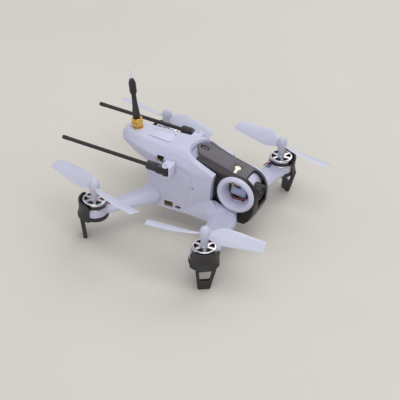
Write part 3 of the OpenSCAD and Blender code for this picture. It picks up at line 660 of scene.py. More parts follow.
def make_foot(quad):
    z = FOOT_JOINT
    disc = [(3, 0), (9.6, 0), (10.1, 0.3), (10.3, 0.8), (10.3, 2.2), (10.1, 2.7), (3, 2.7)]
    ribs = [tube([(9.6, s * 6, z + 0.4), (8, s * 5.2, z - 2.6)], [0.9, 0.5], 10) for s in (-1, 1)]
    parts = [lathe(disc, 72, True, z), make_guard(), make_leg()] + ribs
    place = motor_place(quad) @ turned("Z", FOOT_ANGLE[quad])
    piece(parts, "foot_moulding_" + quad, "foot_black", "foot_" + quad, mat=RUBBER, place=place, smooth=45)


for q in QUADS:
    make_propeller(q)
    make_bell(q)
    make_stator_base(q)
    make_foot(q)
make_windings()
make_motor_leads()


# ---- fuselage shells ----

REAR_X = -23.5
BODY_HALF = 18
SKIN = 1.5
ARM_SIDE = 12.95
FAR = 25  # past the body's sides
# x, then half width and height of: the roof's edge, the side's edge, the lowest edge
TAIL = [(-50.3, 2.4, 63.2, 3.6, 61.4, 3, 60.2), (-49.6, 4, 65.2, 5.6, 61.6, 4.6, 59.3),
        (-48, 5.5, 66.8, 7.6, 61.7, 6.4, 58.4), (-43.5, 7.1, 67.7, 10, 61.4, 8.9, 57.6),
        (-37.5, 8.1, 67, 12, 61.1, 11.2, 55.4), (-30.9, 9.1, 66.2, 14, 60.4, 13.4, 53.4),
        (REAR_X, 9.8, 65.5, 15.8, 59.3, 15.4, 51.6)]
# x, then half width and height of: the roof's flat, the roof's edge, the side's edge
BODY = [(REAR_X, 5, 65.9, 9.8, 65.5, 15.8, 59.3), (-16.4, 6, 65.4, 10.6, 64.8, 17, 58.3),
        (-8.2, 8, 65.1, 11.9, 63.9, 17.8, 57.6), (-3, 10, 65, 13.2, 63.2, 18, 57.2),
        (4.6, 12, 64.8, 14.8, 62.5, 18, 56.2), (8, 12.6, 64.5, 15.3, 62, 18, 55.4),
        (12.7, 12.9, 62.9, 16.1, 60.9, 18, 54.3), (20, 12.9, 59, 17, 57.7, 18, 53),
        (29, 12.9, 54.7, 17.7, 54.4, 18, 52.4)]
PARTING = [(-24.5, 59.25), (-3, 57.2), (3.1, 54.9), (9.3, 50.2), (12.2, 46.2), (5.8, 21.5)]
FRONT_EDGE = [(25.2, 21), (25.5, 30), (26.1, 36), (27, 46.4), (28.9, 55.6)]
RECEIVER_SLOT = ((-15.9, -22, 54.9), (-10.3, -13.5, 59.5))
POCKET_X = 13.5
COAX = shift(-40, 0, 67.4) @ turned("Y", -6)


def tail_solid(inset=0, soft=1.6, x_from=-50.3):
    rings = []
    for x in spread(x_from, REAR_X, 26):
        w1, z1, w2, z2, w3, z3 = eased(TAIL, x)
        w1, z1, w2, w3, z3 = w1 - inset * 0.7, z1 - inset, w2 - inset, w3 - inset, z3 + inset
        corners = [(x, -w3, z3), (x, -w2, z2), (x, -w1, z1), (x, 0, z1 + 0.7), (x, w1, z1), (x, w2, z2),
                   (x, w3, z3)]
        rings.append(rounded(corners, [0.01, soft, soft * 1.1, 30, soft * 1.1, soft, 0.01], 4))
    return loft(rings)


def body_solid(inset=0, low=18, x_to=29):
    rings = []
    for x in spread(REAR_X - (2 if inset else 0), x_to, 36):
        w0, z0, w1, z1, w2, z2 = eased(BODY, x)
        w0, z0, w1, z1, w2 = w0 - inset * 0.3, z0 - inset, w1 - inset * 0.7, z1 - inset, w2 - inset
        w3 = BODY_HALF - inset
        half = [(x, w3, low), (x, w3 - 0.001, (low + z2) / 2), (x, w2, z2), (x, w1, z1), (x, w0, z0)]
        corners = [(px, -py, pz) for px, py, pz in half] + [(x, 0, z0 + 0.35)] + half[::-1]
        soft = [0.01, 6, 3, 1.3, 2.5]
        rings.append(rounded(corners, soft + [20] + soft[::-1], 4))
    return loft(rings)


def roof(x):
    return eased([(r[0], r[2] + 0.3) for r in BODY], x)[0]


def pocket_edge(back, side, from_deg, to_deg, n):
    """The rear end of the pocket's outline, larger by so much at the back and the sides."""
    angles = [radians(a) for a in spread(from_deg, to_deg, n)]
    return [(POCKET_X + (8.5 + back) * cos(a), (12.92 + side) * sin(a)) for a in angles]


def pocket():
    """The U-shaped opening round the visor's tail; its rear rim widens as a bevel that follows the roof."""
    rings = []
    for back, side, dz in ((0, 0, -14), (0, 0, -2.1), (0.3, 0.05, -1.8), (1.9, 0.4, 0.4), (2.3, 0.5, 6)):
        w = 12.92 + side
        ring = pocket_edge(back, side, 90, 270, 18) + [(30, -w), (46, -w), (46, w), (30, w)]
        rings.append([(x, y, roof(x) + dz) for x, y in ring])
    return loft(rings)


def pocket_wall():
    """The wall and the floor of the pocket's rear end, under the visor's tongue."""
    rings = []
    for (x0, y0), (x1, y1) in zip(pocket_edge(1.2, 1.2, 104, 256, 30), pocket_edge(0, 0, 104, 256, 30)):
        low, high = roof(x1) - 5.4, roof(x1) - 1.6
        rings.append([(x0, y0, low), (x1, y1, low), (x1, y1, high), (x0, y0, high)])
    return join([loft(rings), column(pocket_edge(0.3, 0.3, 95, 265, 30), 59.9, 60.9)])


def make_upper_shell():
    tail = combine(tail_solid(), tail_solid(SKIN, 1, -47.6))
    combine(tail, move(lathe([(0, -8), (3.15, -8), (3.15, 8), (0, 8)], 32), COAX))
    below = [(-30, 10), (-30, 59.25)] + [(x + 0.14, z + 0.1) for x, z in PARTING[1:]] + [(6.1, 10)]
    ahead = [(25.2, 10)] + FRONT_EDGE + [(29.5, 80), (60, 80), (60, 10)]
    arm_root_edge = [(4, 5), (5, 21.6), (6.3, 21.7), (18.2, 30.25), (30, 33.3), (32, 5)]
    body = combine(body_solid(), body_solid(SKIN, 10, 32))
    combine(body, prism(below, -FAR, FAR))
    combine(body, prism(ahead, -FAR, FAR))
    combine(body, pocket())
    combine(body, prism(arm_root_edge, -FAR, FAR))
    for s in (-1, 1):  # small drain hole low in each shoulder
        place = shift(12.9, s * BODY_HALF, 40.6) @ turned("X", 90) @ Matrix.Rotation(0.35, 4, "Z")
        drop = lathe([(0, -4), (0.7, -4), (0.7, 4), (0, 4)], 20)
        combine(body, move(drop, place @ Matrix.Diagonal((1.7, 0.75, 1, 1))))
    combine(body, block(*RECEIVER_SLOT, 0))
    # the faces beside the visor that look forward
    back, front = [(x - 1.3, z) for x, z in FRONT_EDGE[1:]], FRONT_EDGE[1:-1]
    face = [(28.3, 53.5)] + front[::-1] + back[:-1] + [(27.1, 53.7)]
    strips = [side_plate([face], s * ARM_SIDE, s * 17.5, 0.15) for s in (-1, 1)]
    parts = [round_edges(o, 0.32, 3, 34) for o in (tail, body)] + strips + [pocket_wall()]
    piece(parts, "canopy", "body_white", "upper_shell", mat=WHITE, smooth=38)


def make_top_panel():
    outline = [(-8.6, -4.4), (7.6, -5.6), (8.6, 0), (7.6, 5.6), (-8.6, 4.4), (-9.6, 0)]
    soft = rounded_2d(outline, 1.2)
    groove = loft([[(x * scale, y * scale * 1.02, z) for x, y in soft]
                   for scale, z in ((1.045, -0.9), (1.045, 0.42), (1, 0.42), (1, -0.9))], caps=False)
    place = FUSELAGE @ shift(-20, 0, 65.42) @ turned("Y", 3.4)
    piece([paint(plate([soft], -1.2, 0.62, 0.22), PANEL), paint(groove, GAP)], "roof_panel", "panel_white",
          "top_panel", place=place, smooth=35)


def skin(stations, soft):
    """A skin over outlines of six corners, blended smoothly from one to the next."""
    rows = [[k] + [c for corner in stations[k] for c in corner] for k in range(len(stations))]
    rings = []
    for k in spread(0, len(stations) - 1, 8 * (len(stations) - 1)):
        flat = eased(rows, k)
        rings.append(rounded([tuple(flat[i:i + 3]) for i in range(0, len(flat), 3)], soft, 4))
    return loft(rings)


# Y, then X and Z of six corners: low rear, mid rear, ridge, top front, mid front, low front. The left arm.
FRONT_ARM = [[(x, y, z) for x, z in corners] for y, *corners in (
    (12.6, (26.6, 18.4), (26.8, 24), (32, 28.2), (42.6, 28.2), (45.4, 26.6), (45.2, 19)),
    (19, (27.2, 18.5), (27.8, 23.4), (32.8, 27.6), (45.2, 27.6), (48.4, 25.4), (48, 19.2)),
    (28, (29.8, 19.2), (30.4, 23), (34.6, 26.3), (46, 26.6), (49, 24.7), (48.6, 19.6)),
    (42, (32.8, 20.2), (33.4, 23.2), (37, 25.7), (47.6, 26), (50.4, 24.2), (50, 20.3)),
    (55, (36.2, 20.7), (36.6, 23.5), (39.6, 25.6), (50, 25.6), (53, 24), (52.6, 20.8)),
    (62, (38, 20.8), (38.4, 23.5), (41, 25.5), (49.6, 25.5), (52.4, 24), (52, 20.8)))]


def rear_arm_station(cx, cy, half, z_low, z_high, angle):
    """A section across the rear arm, whose front side is lower and rounder."""
    ux, uy = polar(1, radians(angle))
    h = z_high - z_low
    return [(cx + ux * half * s, cy + uy * half * s, z_low + h * t)
            for s, t in ((-0.86, 0), (-1, 0.55), (-0.72, 1), (0.45, 0.98), (1, 0.5), (0.9, 0))]


REAR_ARM = [rear_arm_station(*station) for station in (
    (-17.4, 15.6, 6.6, 19, 31.6, 2), (-18.2, 18.4, 6.9, 18.9, 30.8, 12),
    (-21.4, 23.6, 6.4, 19.2, 29.4, 28), (-26.8, 31.2, 6, 19.9, 27.8, 36), (-33.6, 40, 6, 20.5, 26.6, 38),
    (-39.6, 47.6, 6.6, 20.8, 26, 38), (-43.2, 52, 6.8, 20.9, 25.8, 38))]
BELLY_SCREWS = [(x, y) for x in (-16, 16) for y in (-11, 11)]


def arm_root():
    """The fairing that climbs the shoulder's side and runs forward beside the camera to the front arm."""
    corners = {
        "start": (6.2, 18.05, 21.7), "start_low": (5.8, 18.05, 18.4), "climb": (17.5, 18.05, 30.4),
        "rise": (22.4, 18.05, 32.5), "top": (27.2, 18.05, 35.4), "ridge": (33.4, 19.6, 28.3),
        "elbow": (27.7, 21.2, 24.6), "elbow_low": (26.6, 21.2, 18.7), "top_in": (27.2, ARM_SIDE, 32.6),
        "nose_in": (44.4, ARM_SIDE, 27.7), "nose_out": (44.2, 18.6, 27), "nose_low": (44.4, ARM_SIDE, 19),
        "nose_out_low": (44.4, 19, 19.1), "low_in": (27.2, ARM_SIDE, 19)}
    index = {name: k for k, name in enumerate(corners)}
    faces = [("start", "elbow", "ridge", "climb"), ("climb", "ridge", "rise"), ("rise", "ridge", "top"),
             ("top", "ridge", "top_in"), ("ridge", "nose_out", "nose_in", "top_in"),
             ("start", "start_low", "elbow_low", "elbow"),
             ("elbow", "elbow_low", "nose_out_low", "nose_out", "ridge"),
             ("nose_in", "nose_out", "nose_out_low", "nose_low"), ("top_in", "nose_in", "nose_low", "low_in"),
             ("start_low", "low_in", "nose_low", "nose_out_low", "elbow_low"),
             ("start_low", "start", "climb", "rise", "top", "top_in", "low_in")]
    obj = mesh_object(corners.values(), [[index[name] for name in face] for face in faces])
    obj.modifiers.new("triangles", "TRIANGULATE")
    return round_edges(bake(obj), 0.4, 3, 9)


def make_lower_frame():
    body = combine(body_solid(), body_solid(SKIN, 19.2, 32))
    keep = [(-30, 10), (-30, 59.25)] + PARTING[1:] + [(6, 21.9), (26.2, 23.6), (27.2, 23.6), (27.2, 10)]
    combine(body, prism(keep, -FAR, FAR), "INTERSECT")
    servo_window = ((-10.1, -22, 19.6), (-3, -15.5, 24.3))
    usb_window = ((-1.4, -22, 20), (3.2, -15.5, 22.3))
    for low, high in (RECEIVER_SLOT, servo_window, usb_window):
        combine(body, block(low, high, 0))
    for x, y in BELLY_SCREWS:
        cone = lathe([(0, 17), (2.2, 17), (2.2, 18), (1.1, 19), (1.1, 20), (0, 20)], 24)
        combine(body, move(cone, shift(x, y, 0)))
    for x in spread(-9, 9, 4):  # cooling slots in the belly
        slot = rounded_2d([(x - 0.7, -4.5), (x + 0.7, -4.5), (x + 0.7, 4.5), (x - 0.7, 4.5)], 0.69)
        combine(body, plate([slot], 17.4, 20, 0))
    sill = block((REAR_X, -16.9, 18.6), (REAR_X + 1.6, 16.9, 28.4))
    shelf = block((REAR_X, -16.9, 28), (22, 16.9, 29))
    nose_floor = block((26, -14.4, 18), (44.6, 14.4, 19.9), 0.5, 3)
    nose_wall = block((42.9, -14.2, 18.3), (44.6, 14.2, 27.4), 0.5, 3)
    parts = [round_edges(body, 0.3, 2, 34), sill, shelf, nose_floor, nose_wall]
    arms = []
    for s in (-1, 1):
        parts += [block((22, s * 12.6, 19), (44.4, s * 14, 27.2)), move(arm_root(), side_matrix(s))]
        arms += [move(skin(FRONT_ARM, [1, 0.8, 0.7, 2.4, 2.2, 2]), ROW @ side_matrix(s)),
                 move(skin(REAR_ARM, [2, 2.6, 2.6, 3.4, 3.2, 2.2]), ROW @ side_matrix(s))]
    for q in QUADS:
        low, top = CUP_FLOOR, CUP_TOP
        cup = [(2.6, low), (8.7, low), (9.4, low + 0.3), (9.6, low + 0.9), (9.6, top - 0.5),
               (9.4, top - 0.1), (9.1, top), (2.6, top)]
        arms.append(move(lathe(cup, 72, True), motor_place(q)))
    placed = [move(o, FUSELAGE) for o in parts] + arms
    piece(placed, "airframe_moulding", "body_white", "lower_frame", mat=WHITE, place=ROW_FRAME, smooth=32)


make_upper_shell()
make_top_panel()
make_lower_frame()

# ---- visor ----

VISOR_Y = 12.5
BEVEL = 6
ARC = (42.5, 38.5)
TOP_SLOPE = 17.8
KEY = shift(39.7, -0.8, 55.85) @ turned("Y", TOP_SLOPE)


def visor_outline(inset):
    """The side outline; inset lowers its top, most in the middle and ever less towards the lower tip."""
    cx, cz = ARC
    top = [(x, z - inset * share) for x, z, share in
           ((8, 66.04, 0.5), (13.2, 64.37, 0.55), (20, 62.18, 0.75), (32, 58.32, 1.05))]
    nose = [(cx + (16 - inset * share) * cos(a), cz + (16 - inset * share) * sin(a))
            for a, share in zip(spread(radians(74), radians(-12), 22), spread(1, 0.35, 22))]
    front = [(57.7 - inset * 0.32, 28.5), (54.4 - inset * 0.25, 21.8 + inset * 0.08),
             (50.6 - inset * 0.1, 18.6 + inset * 0.05)]
    under = [(45.2, 19), (45.2, 28.6), (32, 33.4), (26.9, 33.6), (27.6, 42), (29.3, 52.6), (13.3, 59),
             (13.1, 62.2), (8, 62.7)]
    return top + nose + front + under


def visor_solid():
    """The outline carried from side to side, bevelled along its upper edges, with a tongue at the rear."""
    rings = []
    for d in (0, 0.3, 0.8, 1.4, 2.1, 2.9, 3.7, 4.5, 5.3, BEVEL):
        rings.append([(x, -VISOR_Y + d, z) for x, z in visor_outline(3.4 * (1 - d / BEVEL) ** 1.8)])
    rings += [[(x, -y, z) for x, y, z in ring] for ring in rings[::-1]]
    right = [(12.5, -13), (14, -8.8), (11.1, -5.9), (8.2, -1.6)]
    plan = right + [(x, -y) for x, y in right[::-1]] + [(70, 13), (70, -13)]
    plan = rounded_2d(plan, [0, 0.7, 2.5, 1.8, 1.8, 2.5, 0.7, 0, 0, 0])
    return combine(loft(rings), column(plan, 10, 80), "INTERSECT")


def make_visor():
    solid = visor_solid()
    w = VISOR_Y - 2.8
    inner = [(14.7, 62.3), (32, 56.8)] + arc(*ARC, 14.5, 74, -12, 14) + \
            [(56.2, 28.8), (53.1, 22.6), (50, 20.1), (45, 20.1), (40, 15), (14.7, 15)]
    combine(solid, prism(inner, -w, w))
    slot = rounded_2d([(48.9, -6.7), (64, -6.7), (64, 6.7), (48.9, 6.7)], [3.4, 0, 0, 3.4], 6)
    combine(solid, column(slot, 30.9, 70))
    hub = lathe([(0, -30), (10.05, -30), (10.05, 30), (0, 30)], 64)
    combine(solid, move(hub, Matrix.Translation(TILT_AXIS) @ turned("X", 90)))
    recess = lathe([(0, -5), (1.2, -5), (1.2, -1.3), (2, -0.75), (2.35, -0.6), (2.5, 3), (0, 3)], 40)
    recess_place = shift(13.1, 0.6, 64.3) @ turned("Y", TOP_SLOPE)
    combine(solid, move(recess, recess_place @ Matrix.Diagonal((1.35, 0.95, 1, 1))))
    combine(solid, move(keyhole_solid(0.06, -4, 4), KEY))
    for s in (-1, 1):  # shallow step along the side, where the visor meets the shoulder
        combine(solid, tube([(30.6, s * VISOR_Y, 53.5), (31.8, s * VISOR_Y, 51)], 0.2, 8))
    piece(round_edges(solid, 0.22, 2, 36), "visor_hood", "visor_black", "front_visor", mat=VISOR)


def keyhole_solid(gap, low, high):
    """A round head with a tapering tail towards -Y."""
    return column(arc(0, 0, 2.25 + gap, -62, 242, 24) + arc(0.4, -5.6, 1.1 + gap, 190, 350, 10), low, high)


def make_visor_window():
    window = paint(round_edges(keyhole_solid(0, -1.5, 0.12), 0.12, 2, 40), PALE)
    piece(window, "status_light_window", "window_pale", "visor_window", place=FUSELAGE @ KEY)


make_visor()
make_visor_window()

# ---- camera ----

CAMERA = FUSELAGE @ Matrix.Translation(TILT_AXIS)
AIM = 11  # degrees below level
LENS = CAMERA @ turned("Y", AIM)
LENS_FORWARD = LENS @ turned("Y", 90)
DRUM_HALF = 8.6
WIRE_R = 0.46


def drum_wall(outer, inner, from_deg, to_deg, n):
    """A part of the drum round the tilting axis."""
    profile = [(outer, -DRUM_HALF), (outer, DRUM_HALF), (inner, DRUM_HALF), (inner, -DRUM_HALF)]
    return loft([[(r * cos(a), y, r * sin(a)) for r, y in profile]
                 for a in spread(radians(from_deg), radians(to_deg), n)])


def make_cradle():
    ring = [(9, 8.4), (9, 10.4), (9.25, 11.2), (10.3, 14.6), (10.65, 15.2), (11.2, 15.65),
            (11.9, 15.85), (12.7, 15.65), (13.4, 15.15), (13.9, 14.4), (14.1, 13.7), (13.95, 13.1),
            (13.6, 12.78), (9.9, 12.78), (9.9, 8.4)]
    hub = [(9, 8.4), (9, 12.6), (9.2, 12.85), (9.7, 12.85), (9.9, 12.6), (9.9, 8.4)]
    parts = [move(lathe(profile, 96, True), turned("X", -s * 90)) for s, profile in ((-1, ring), (1, hub))]
    parts.append(drum_wall(9.3, 8.75, 118, 238, 24))
    drum = drum_wall(9.75, DRUM_HALF, -62, 80, 40)
    lens_bore = lathe([(0, 0), (6.15, 0), (6.15, 20), (0, 20)], 48)
    combine(drum, move(lens_bore, turned("Y", AIM) @ turned("Y", 90)))
    for s in (-1, 1):
        combine(drum, block((2.5, s * 3.2, 6), (4.2, s * 5.6, 12), 0))
    parts += [round_edges(drum, 0.2, 2, 40), block((-6, -DRUM_HALF, -8.8), (3, DRUM_HALF, -7.8))]
    for a in (0, 90, 180, 270):  # small ribs inside the left and right hubs
        for s in (-1, 1):
            parts.append(move(block((8.2, s * 8.6, -0.35), (9.1, s * 12, 0.35), 0.1), turned("Y", a + 35)))
    piece(parts, "camera_tilt_rings", "panel_white", "camera_cradle", mat=RING, place=CAMERA, body="camera",
          smooth=45)


def make_camera_module():
    parts = [paint(block((-6.2, -7.4, -5.4), (5.4, 7.4, 5.4), 0.6, 3), CASE),
             paint(block((-7.2, -7.2, -4.6), (-6.2, 7.2, 4.6), 0.15), BOARD)]
    for y, z in ((-5, -3), (1.6, -1.2)):  # chips on the board
        parts.append(paint(block((-7.9, y, z), (-7.2, y + 3, z + 3), 0.1), HEADER))
    for s in (-1, 1):  # the case's seam
        parts.append(paint(block((-6.1, s * 7.38 - 0.08, 0.6), (5.3, s * 7.38 + 0.08, 0.9), 0.02), GAP))
    piece(parts, "camera_box", "camera_case", "camera_module", place=LENS, body="camera")
    barrel = [(4.2, 5.2), (5.95, 5.3), (6, 5.6), (6, 9.2), (5.7, 9.4), (5.7, 10), (6, 10.2),
              (6, 13.4), (5.6, 14.1), (5.2, 14.4), (4.9, 14.35), (4.7, 13.8), (4.2, 12.9), (4, 12.2),
              (4, 5.4)]
    grip = [move(block((5.9, -0.16, 10.7), (6.12, 0.16, 13), 0.04),
                 Matrix.Rotation(TURN * k / 36, 4, "Z")) for k in range(36)]
    parts = [paint(o, LENS_BLACK) for o in [lathe(barrel, 72, True)] + grip]
    piece(parts, "lens_tube", "lens_black", "lens_barrel", place=LENS_FORWARD, body="camera")
    glass = [(0, 11), (3.95, 11.1), (3.95, 12), (3.4, 12.5), (2.6, 12.95), (1.7, 13.25), (0.8, 13.42),
             (0, 13.46)]
    piece(lathe(glass, 48), "lens_front", "lens_clear", "lens_glass", mat=GLASS, place=LENS_FORWARD,
          body="camera", smooth=60)


def make_camera_wires():
    wires = []
    over = [(-5.2, 6, RED), (-4, 6.8, BLACK), (-2.6, 7.3, YELLOW), (-1.2, 7.5, RED)]
    under = [(-4.4, -6.7, BROWN), (-3, -7, BLACK), (-1.7, -6.9, BROWN), (-0.4, -7.1, BLACK)]
    for k, (x, z, mat) in enumerate(over + under):
        bend = 0.35 if k % 2 else -0.3
        end = 8.9 - 0.3 * (k % 3)
        wires.append(([(x + bend * 0.4, -end, z * 0.97), (x + bend, -5, z + 0.15 * bend), (x, 0, z),
                       (x - bend, 5, z - 0.12 * bend), (x, end, z * 0.97)], mat))
    for k, mat in enumerate((BROWN, RED, BROWN, BLACK)):  # loops low in the right ring
        z = -6 - 0.62 * k
        wires.append(([(-6.4 + 0.5 * k, -7.9, z + 1.1), (-3.2, -8.6 + 0.25 * k, z + 0.1),
                       (1, -8.7 + 0.25 * k, z), (5 - 0.4 * k, -8.1, z + 0.6)], mat))
    for k, mat in enumerate((YELLOW, RED, BLACK)):  # leads that come over the camera's shoulder
        wires.append(([(-6.4 + 0.6 * k, -7.9, 5.4 - 0.7 * k), (-4.8 + k, -8.5, 4.6 - 0.7 * k),
                       (-2.9 + 1.3 * k, -8.3, 3.4 - 0.4 * k), (-1.6 + 1.5 * k, -7.5, 2.9 - 0.4 * k)], mat))
    parts = [paint(tube(smooth_path(points), WIRE_R, 10), mat) for points, mat in wires]
    for s in (-1, 1):  # plug at each side
        parts.append(paint(block((-3.2, s * 7.8, 5.2), (-0.4, s * 8.7, 6.6), 0.15), PALE))
    piece(parts, "camera_leads", "wire_colour", "camera_wires", place=CAMERA, body="camera", smooth=60)


make_cradle()
make_camera_module()
make_camera_wires()

# ---- receiver antennas ----

HINGE = Vector((-4.4, 25.2, 54.7))
ROD_END = 82.7


def make_clevis(side, place):
    root = BODY_HALF + 0.02 - HINGE.y
    cheek = rounded_2d([(4.2, root), (4.2, 0.6)] + arc(0, 0, 2.6, 20, 170, 14) + [(-2.9, root)], 0.5, 2)
    pin_hole = circle(0.82, 20)[::-1]
    parts = [plate([cheek, pin_hole], low, high, 0.18) for low, high in ((3.4, 4.4), (-4.6, -3.5))]
    parts += [block((2.9, root, -4.5), (4.3, 1.9, 4.3)), block((-3.2, root, -4.5), (4.3, root + 0.9, 4.3))]
    for x in (-2.2, 1.9):  # moulding marks on the upper cheek
        dot = lathe([(0, 0), (0.55, 0), (0.55, 0.2), (0.4, 0.3), (0, 0.3)], 16)
        parts.append(move(dot, shift(x, root + 2, 4.35)))
    piece(parts, "antenna_clevis_" + side, "panel_white", "antenna_bracket_" + side, mat=PANEL, place=place)


def make_sleeve(side, place, along):
    """Soft sleeve: an eye on the pin, a waist, then a ribbed collar round the rod."""
    eye = [(0.84, -3.1), (2, -3.1), (2.35, -2.8), (2.4, -2.3), (2.4, 2.2), (2.35, 2.7), (2, 3),
           (0.84, 3)]
    waist = [rounded([(x, y0, z0), (x, y1, z0), (x, y1, z1), (x, y0, z1)], 0.8, 3) for x, y0, y1, z0, z1 in
             ((-0.9, -1.7, 1.9, -2.6, 2.5), (-2.4, -1.8, 2.2, -2.7, 2.7), (-4.2, -1.5, 3, -2.2, 3.6),
              (-6.3, -1.4, 3.5, -1.4, 4.3))]
    collar = [(0, 5.6), (2.7, 5.6), (3.15, 6), (3.3, 6.6)]
    for z in (7 + 1.55 * k for k in range(4)):
        collar += [(3.28, z), (3.3, z + 0.9), (3.12, z + 1.05), (3.12, z + 1.3)]
    collar += [(3.2, 13.3), (2.9, 13.75), (1.9, 13.85), (1.5, 13.6), (0, 13.6)]
    parts = [lathe(eye, 40, True), loft(waist), move(lathe(collar, 48), along)]
    piece(parts, "antenna_boot_" + side, "antenna_black", "antenna_sleeve_" + side, mat=RUBBER, place=place,
          body="antenna_" + side, smooth=45)


def make_antenna(side, s):
    place = FUSELAGE @ side_matrix(s) @ Matrix.Translation(HINGE)
    along = shift(0, 1.1, 1.5) @ Matrix.Rotation(PITCH, 4, "Y") @ turned("Y", -90)
    make_clevis(side, place)
    make_sleeve(side, place, along)
    n = ROD_END
    rod = lathe([(0, 7.5), (1.4, 7.5), (1.4, n - 5.2), (1.48, n - 5), (1.5, n - 4.6), (1.5, n - 0.9),
                 (1.38, n - 0.3), (1, n), (0, n)], 24)
    piece(rod, "antenna_rod_" + side, "antenna_black", "antenna_tube_" + side, mat=ANTENNA,
          place=place @ along, body="antenna_" + side)


def make_pins():
    pin = [(0, -4.68), (0.6, -4.68), (0.78, -4.5), (0.78, 4.45), (1.2, 4.48), (1.25, 4.6), (1.05, 4.85),
           (0.5, 4.9), (0.35, 4.7), (0, 4.7)]
    parts = [paint(lathe(pin, 24), STEEL, side_matrix(s) @ Matrix.Translation(HINGE)) for s in (-1, 1)]
    piece(parts, "antenna_hinge_pins", "pin_steel", "antenna_pins")


make_antenna("left", 1)
make_antenna("right", -1)
make_pins()

# ---- video antenna ----


def make_coax_jack(place):
    profile = [(0, -5.6), (3.1, -5.6), (3.1, -0.4), (4, -0.4), (4.1, 0), (4, 0.5), (2.6, 0.6)]
    z = 0.8
    while z < 5.4:  # the thread, as grooves
        profile += [(2.6, z), (2.42, z + 0.2), (2.42, z + 0.3), (2.6, z + 0.5)]
        z += 0.6
    profile += [(2.5, 5.9), (1.95, 5.95), (1.9, 1.6), (0, 1.6)]
    piece(lathe(profile, 40), "coax_socket", "gold", "coax_jack", mat=GOLD, place=place)


def make_coax_nut(place):
    hexagon = rounded_2d(circle(4.55, 6), 0.35, 3)
    body = loft([[(x * scale, y * scale, h) for x, y in hexagon] for scale, h in
                 ((0.90, 1.45), (0.97, 1.6), (1, 1.85), (1, 5.9), (0.985, 6.3), (0.94, 6.55))])
    top = lathe([(2.2, 6.3), (3.75, 6.45), (3.8, 7.2), (3.55, 7.55), (3.1, 7.65), (2.2, 7.6)], 48, True)
    collar = lathe([(2.7, 1.25), (3.7, 1.25), (3.75, 1.6), (2.7, 1.6)], 48, True)
    combine(body, lathe([(0, 0), (2.66, 0), (2.66, 6.2), (2.25, 6.25), (2.25, 9), (0, 9)], 40))
    piece([body, top, collar], "coax_nut_gold", "gold", "video_antenna_nut", mat=GOLD, place=place,
          body="coax_nut", smooth=35)


def make_video_antenna():
    place = FUSELAGE @ COAX
    make_coax_jack(place)
    make_coax_nut(place)
    stem = lathe([(0, 6.3), (2.15, 6.3), (2.15, 7.8), (2.6, 7.9), (2.68, 8.3), (2.6, 11.8), (2.45, 12.1),
                  (2.35, 14.6), (2.1, 15), (1.75, 22), (1.62, 28), (0, 28)], 40)
    piece(stem, "video_antenna_lower", "antenna_black", "video_antenna_stem", mat=ANTENNA, place=place,
          smooth=35)
    rings = []
    angles = [TURN * k / 40 for k in range(40)]
    for r, h in ((1.7, 26.5), (2.15, 26.8), (2.5, 27.6), (2.6, 29), (2.6, 34.6), (2.45, 35.6), (1.5, 38),
                 (1.1, 38.5)):
        # lightly faceted, as a shrink sleeve is over a plug
        rings.append([(*polar(r * (1 + 0.035 * cos(4 * a)), a), h) for a in angles])
    piece(loft(rings), "video_antenna_upper", "antenna_black", "video_antenna_cap", mat=ANTENNA,
          place=place)
    path = smooth_path([(0, 0, 36), (0.05, 0, 39.5), (0.1, 0.05, 42), (-0.35, 0.1, 44.6),
                    (-0.75, 0.1, 46.8)])
    whip = tube(path, [0.62] * (len(path) - 3) + [0.6, 0.55, 0.35])
    piece(whip, "video_antenna_whip", "wire_white", "video_antenna_wire", mat=WHIP, place=place, smooth=60)


make_video_antenna()

# ---- inside, and small parts ----


def make_battery():
    parts = [paint(block((-22.5, -14.8, 29.35), (20.5, 14.8, 45.6), 2.2, 5), WRAP),
             paint(block((-14, -11, 45.5), (12, 11, 45.66), 0.05), PALE)]
    for x in (-23, 20.2):  # end papers
        parts.append(paint(block((x, -13.2, 30.6), (x + 0.5, 13.2, 44.3), 0.2), PALE))
    parts.append(paint(block((-4, -15, 29.3), (4, 15, 45.85), 0.8, 3), BLACK))
    piece(parts, "battery_block", "battery_wrap", "battery_pack", body="battery")
    parts = []
    plug = block((-30.2, 1.6, 33.6), (-24.2, 9.4, 38.4), 0.7, 3)
    for y, mat in ((4, RED), (7, BLACK)):
        parts.append(paint(tube(smooth_path([(-22.7, y, 36), (-23.6, y, 36.1), (-24.6, y, 36)]), 1), mat))
        combine(plug, block((-31, y - 0.9, 34.7), (-27, y + 0.9, 37.3), 0))
    parts.append(paint(plug, YELLOW))
    piece(parts, "battery_plug", "wire_colour", "battery_lead", body="battery")


def pin_header(name, node, shroud, first, count, pitch, rows, tip, root, width, half):
    """Rows of gold pins that stand out of a black block towards -Y."""
    parts = [paint(block(*shroud, 0.15), HEADER)]
    for k in range(count):
        for z in rows:
            x = first + pitch * k
            parts.append(paint(block((x, tip, z - half), (x + width, root, z + half), 0.1), GOLD))
    piece(parts, name, "header_black", node)


def make_usb_socket():
    shell = block((-1.2, -17.1, 20.4), (3, -12.4, 22.2), 0.35, 3)
    combine(shell, block((-0.95, -18, 20.65), (2.75, -13.4, 21.95), 0.2))
    tongue = block((-0.3, -16.6, 21.2), (2.1, -13.4, 21.5), 0.08)
    piece([paint(shell, STEEL), paint(tongue, HEADER)], "usb_socket", "shaft_steel", "usb_port")


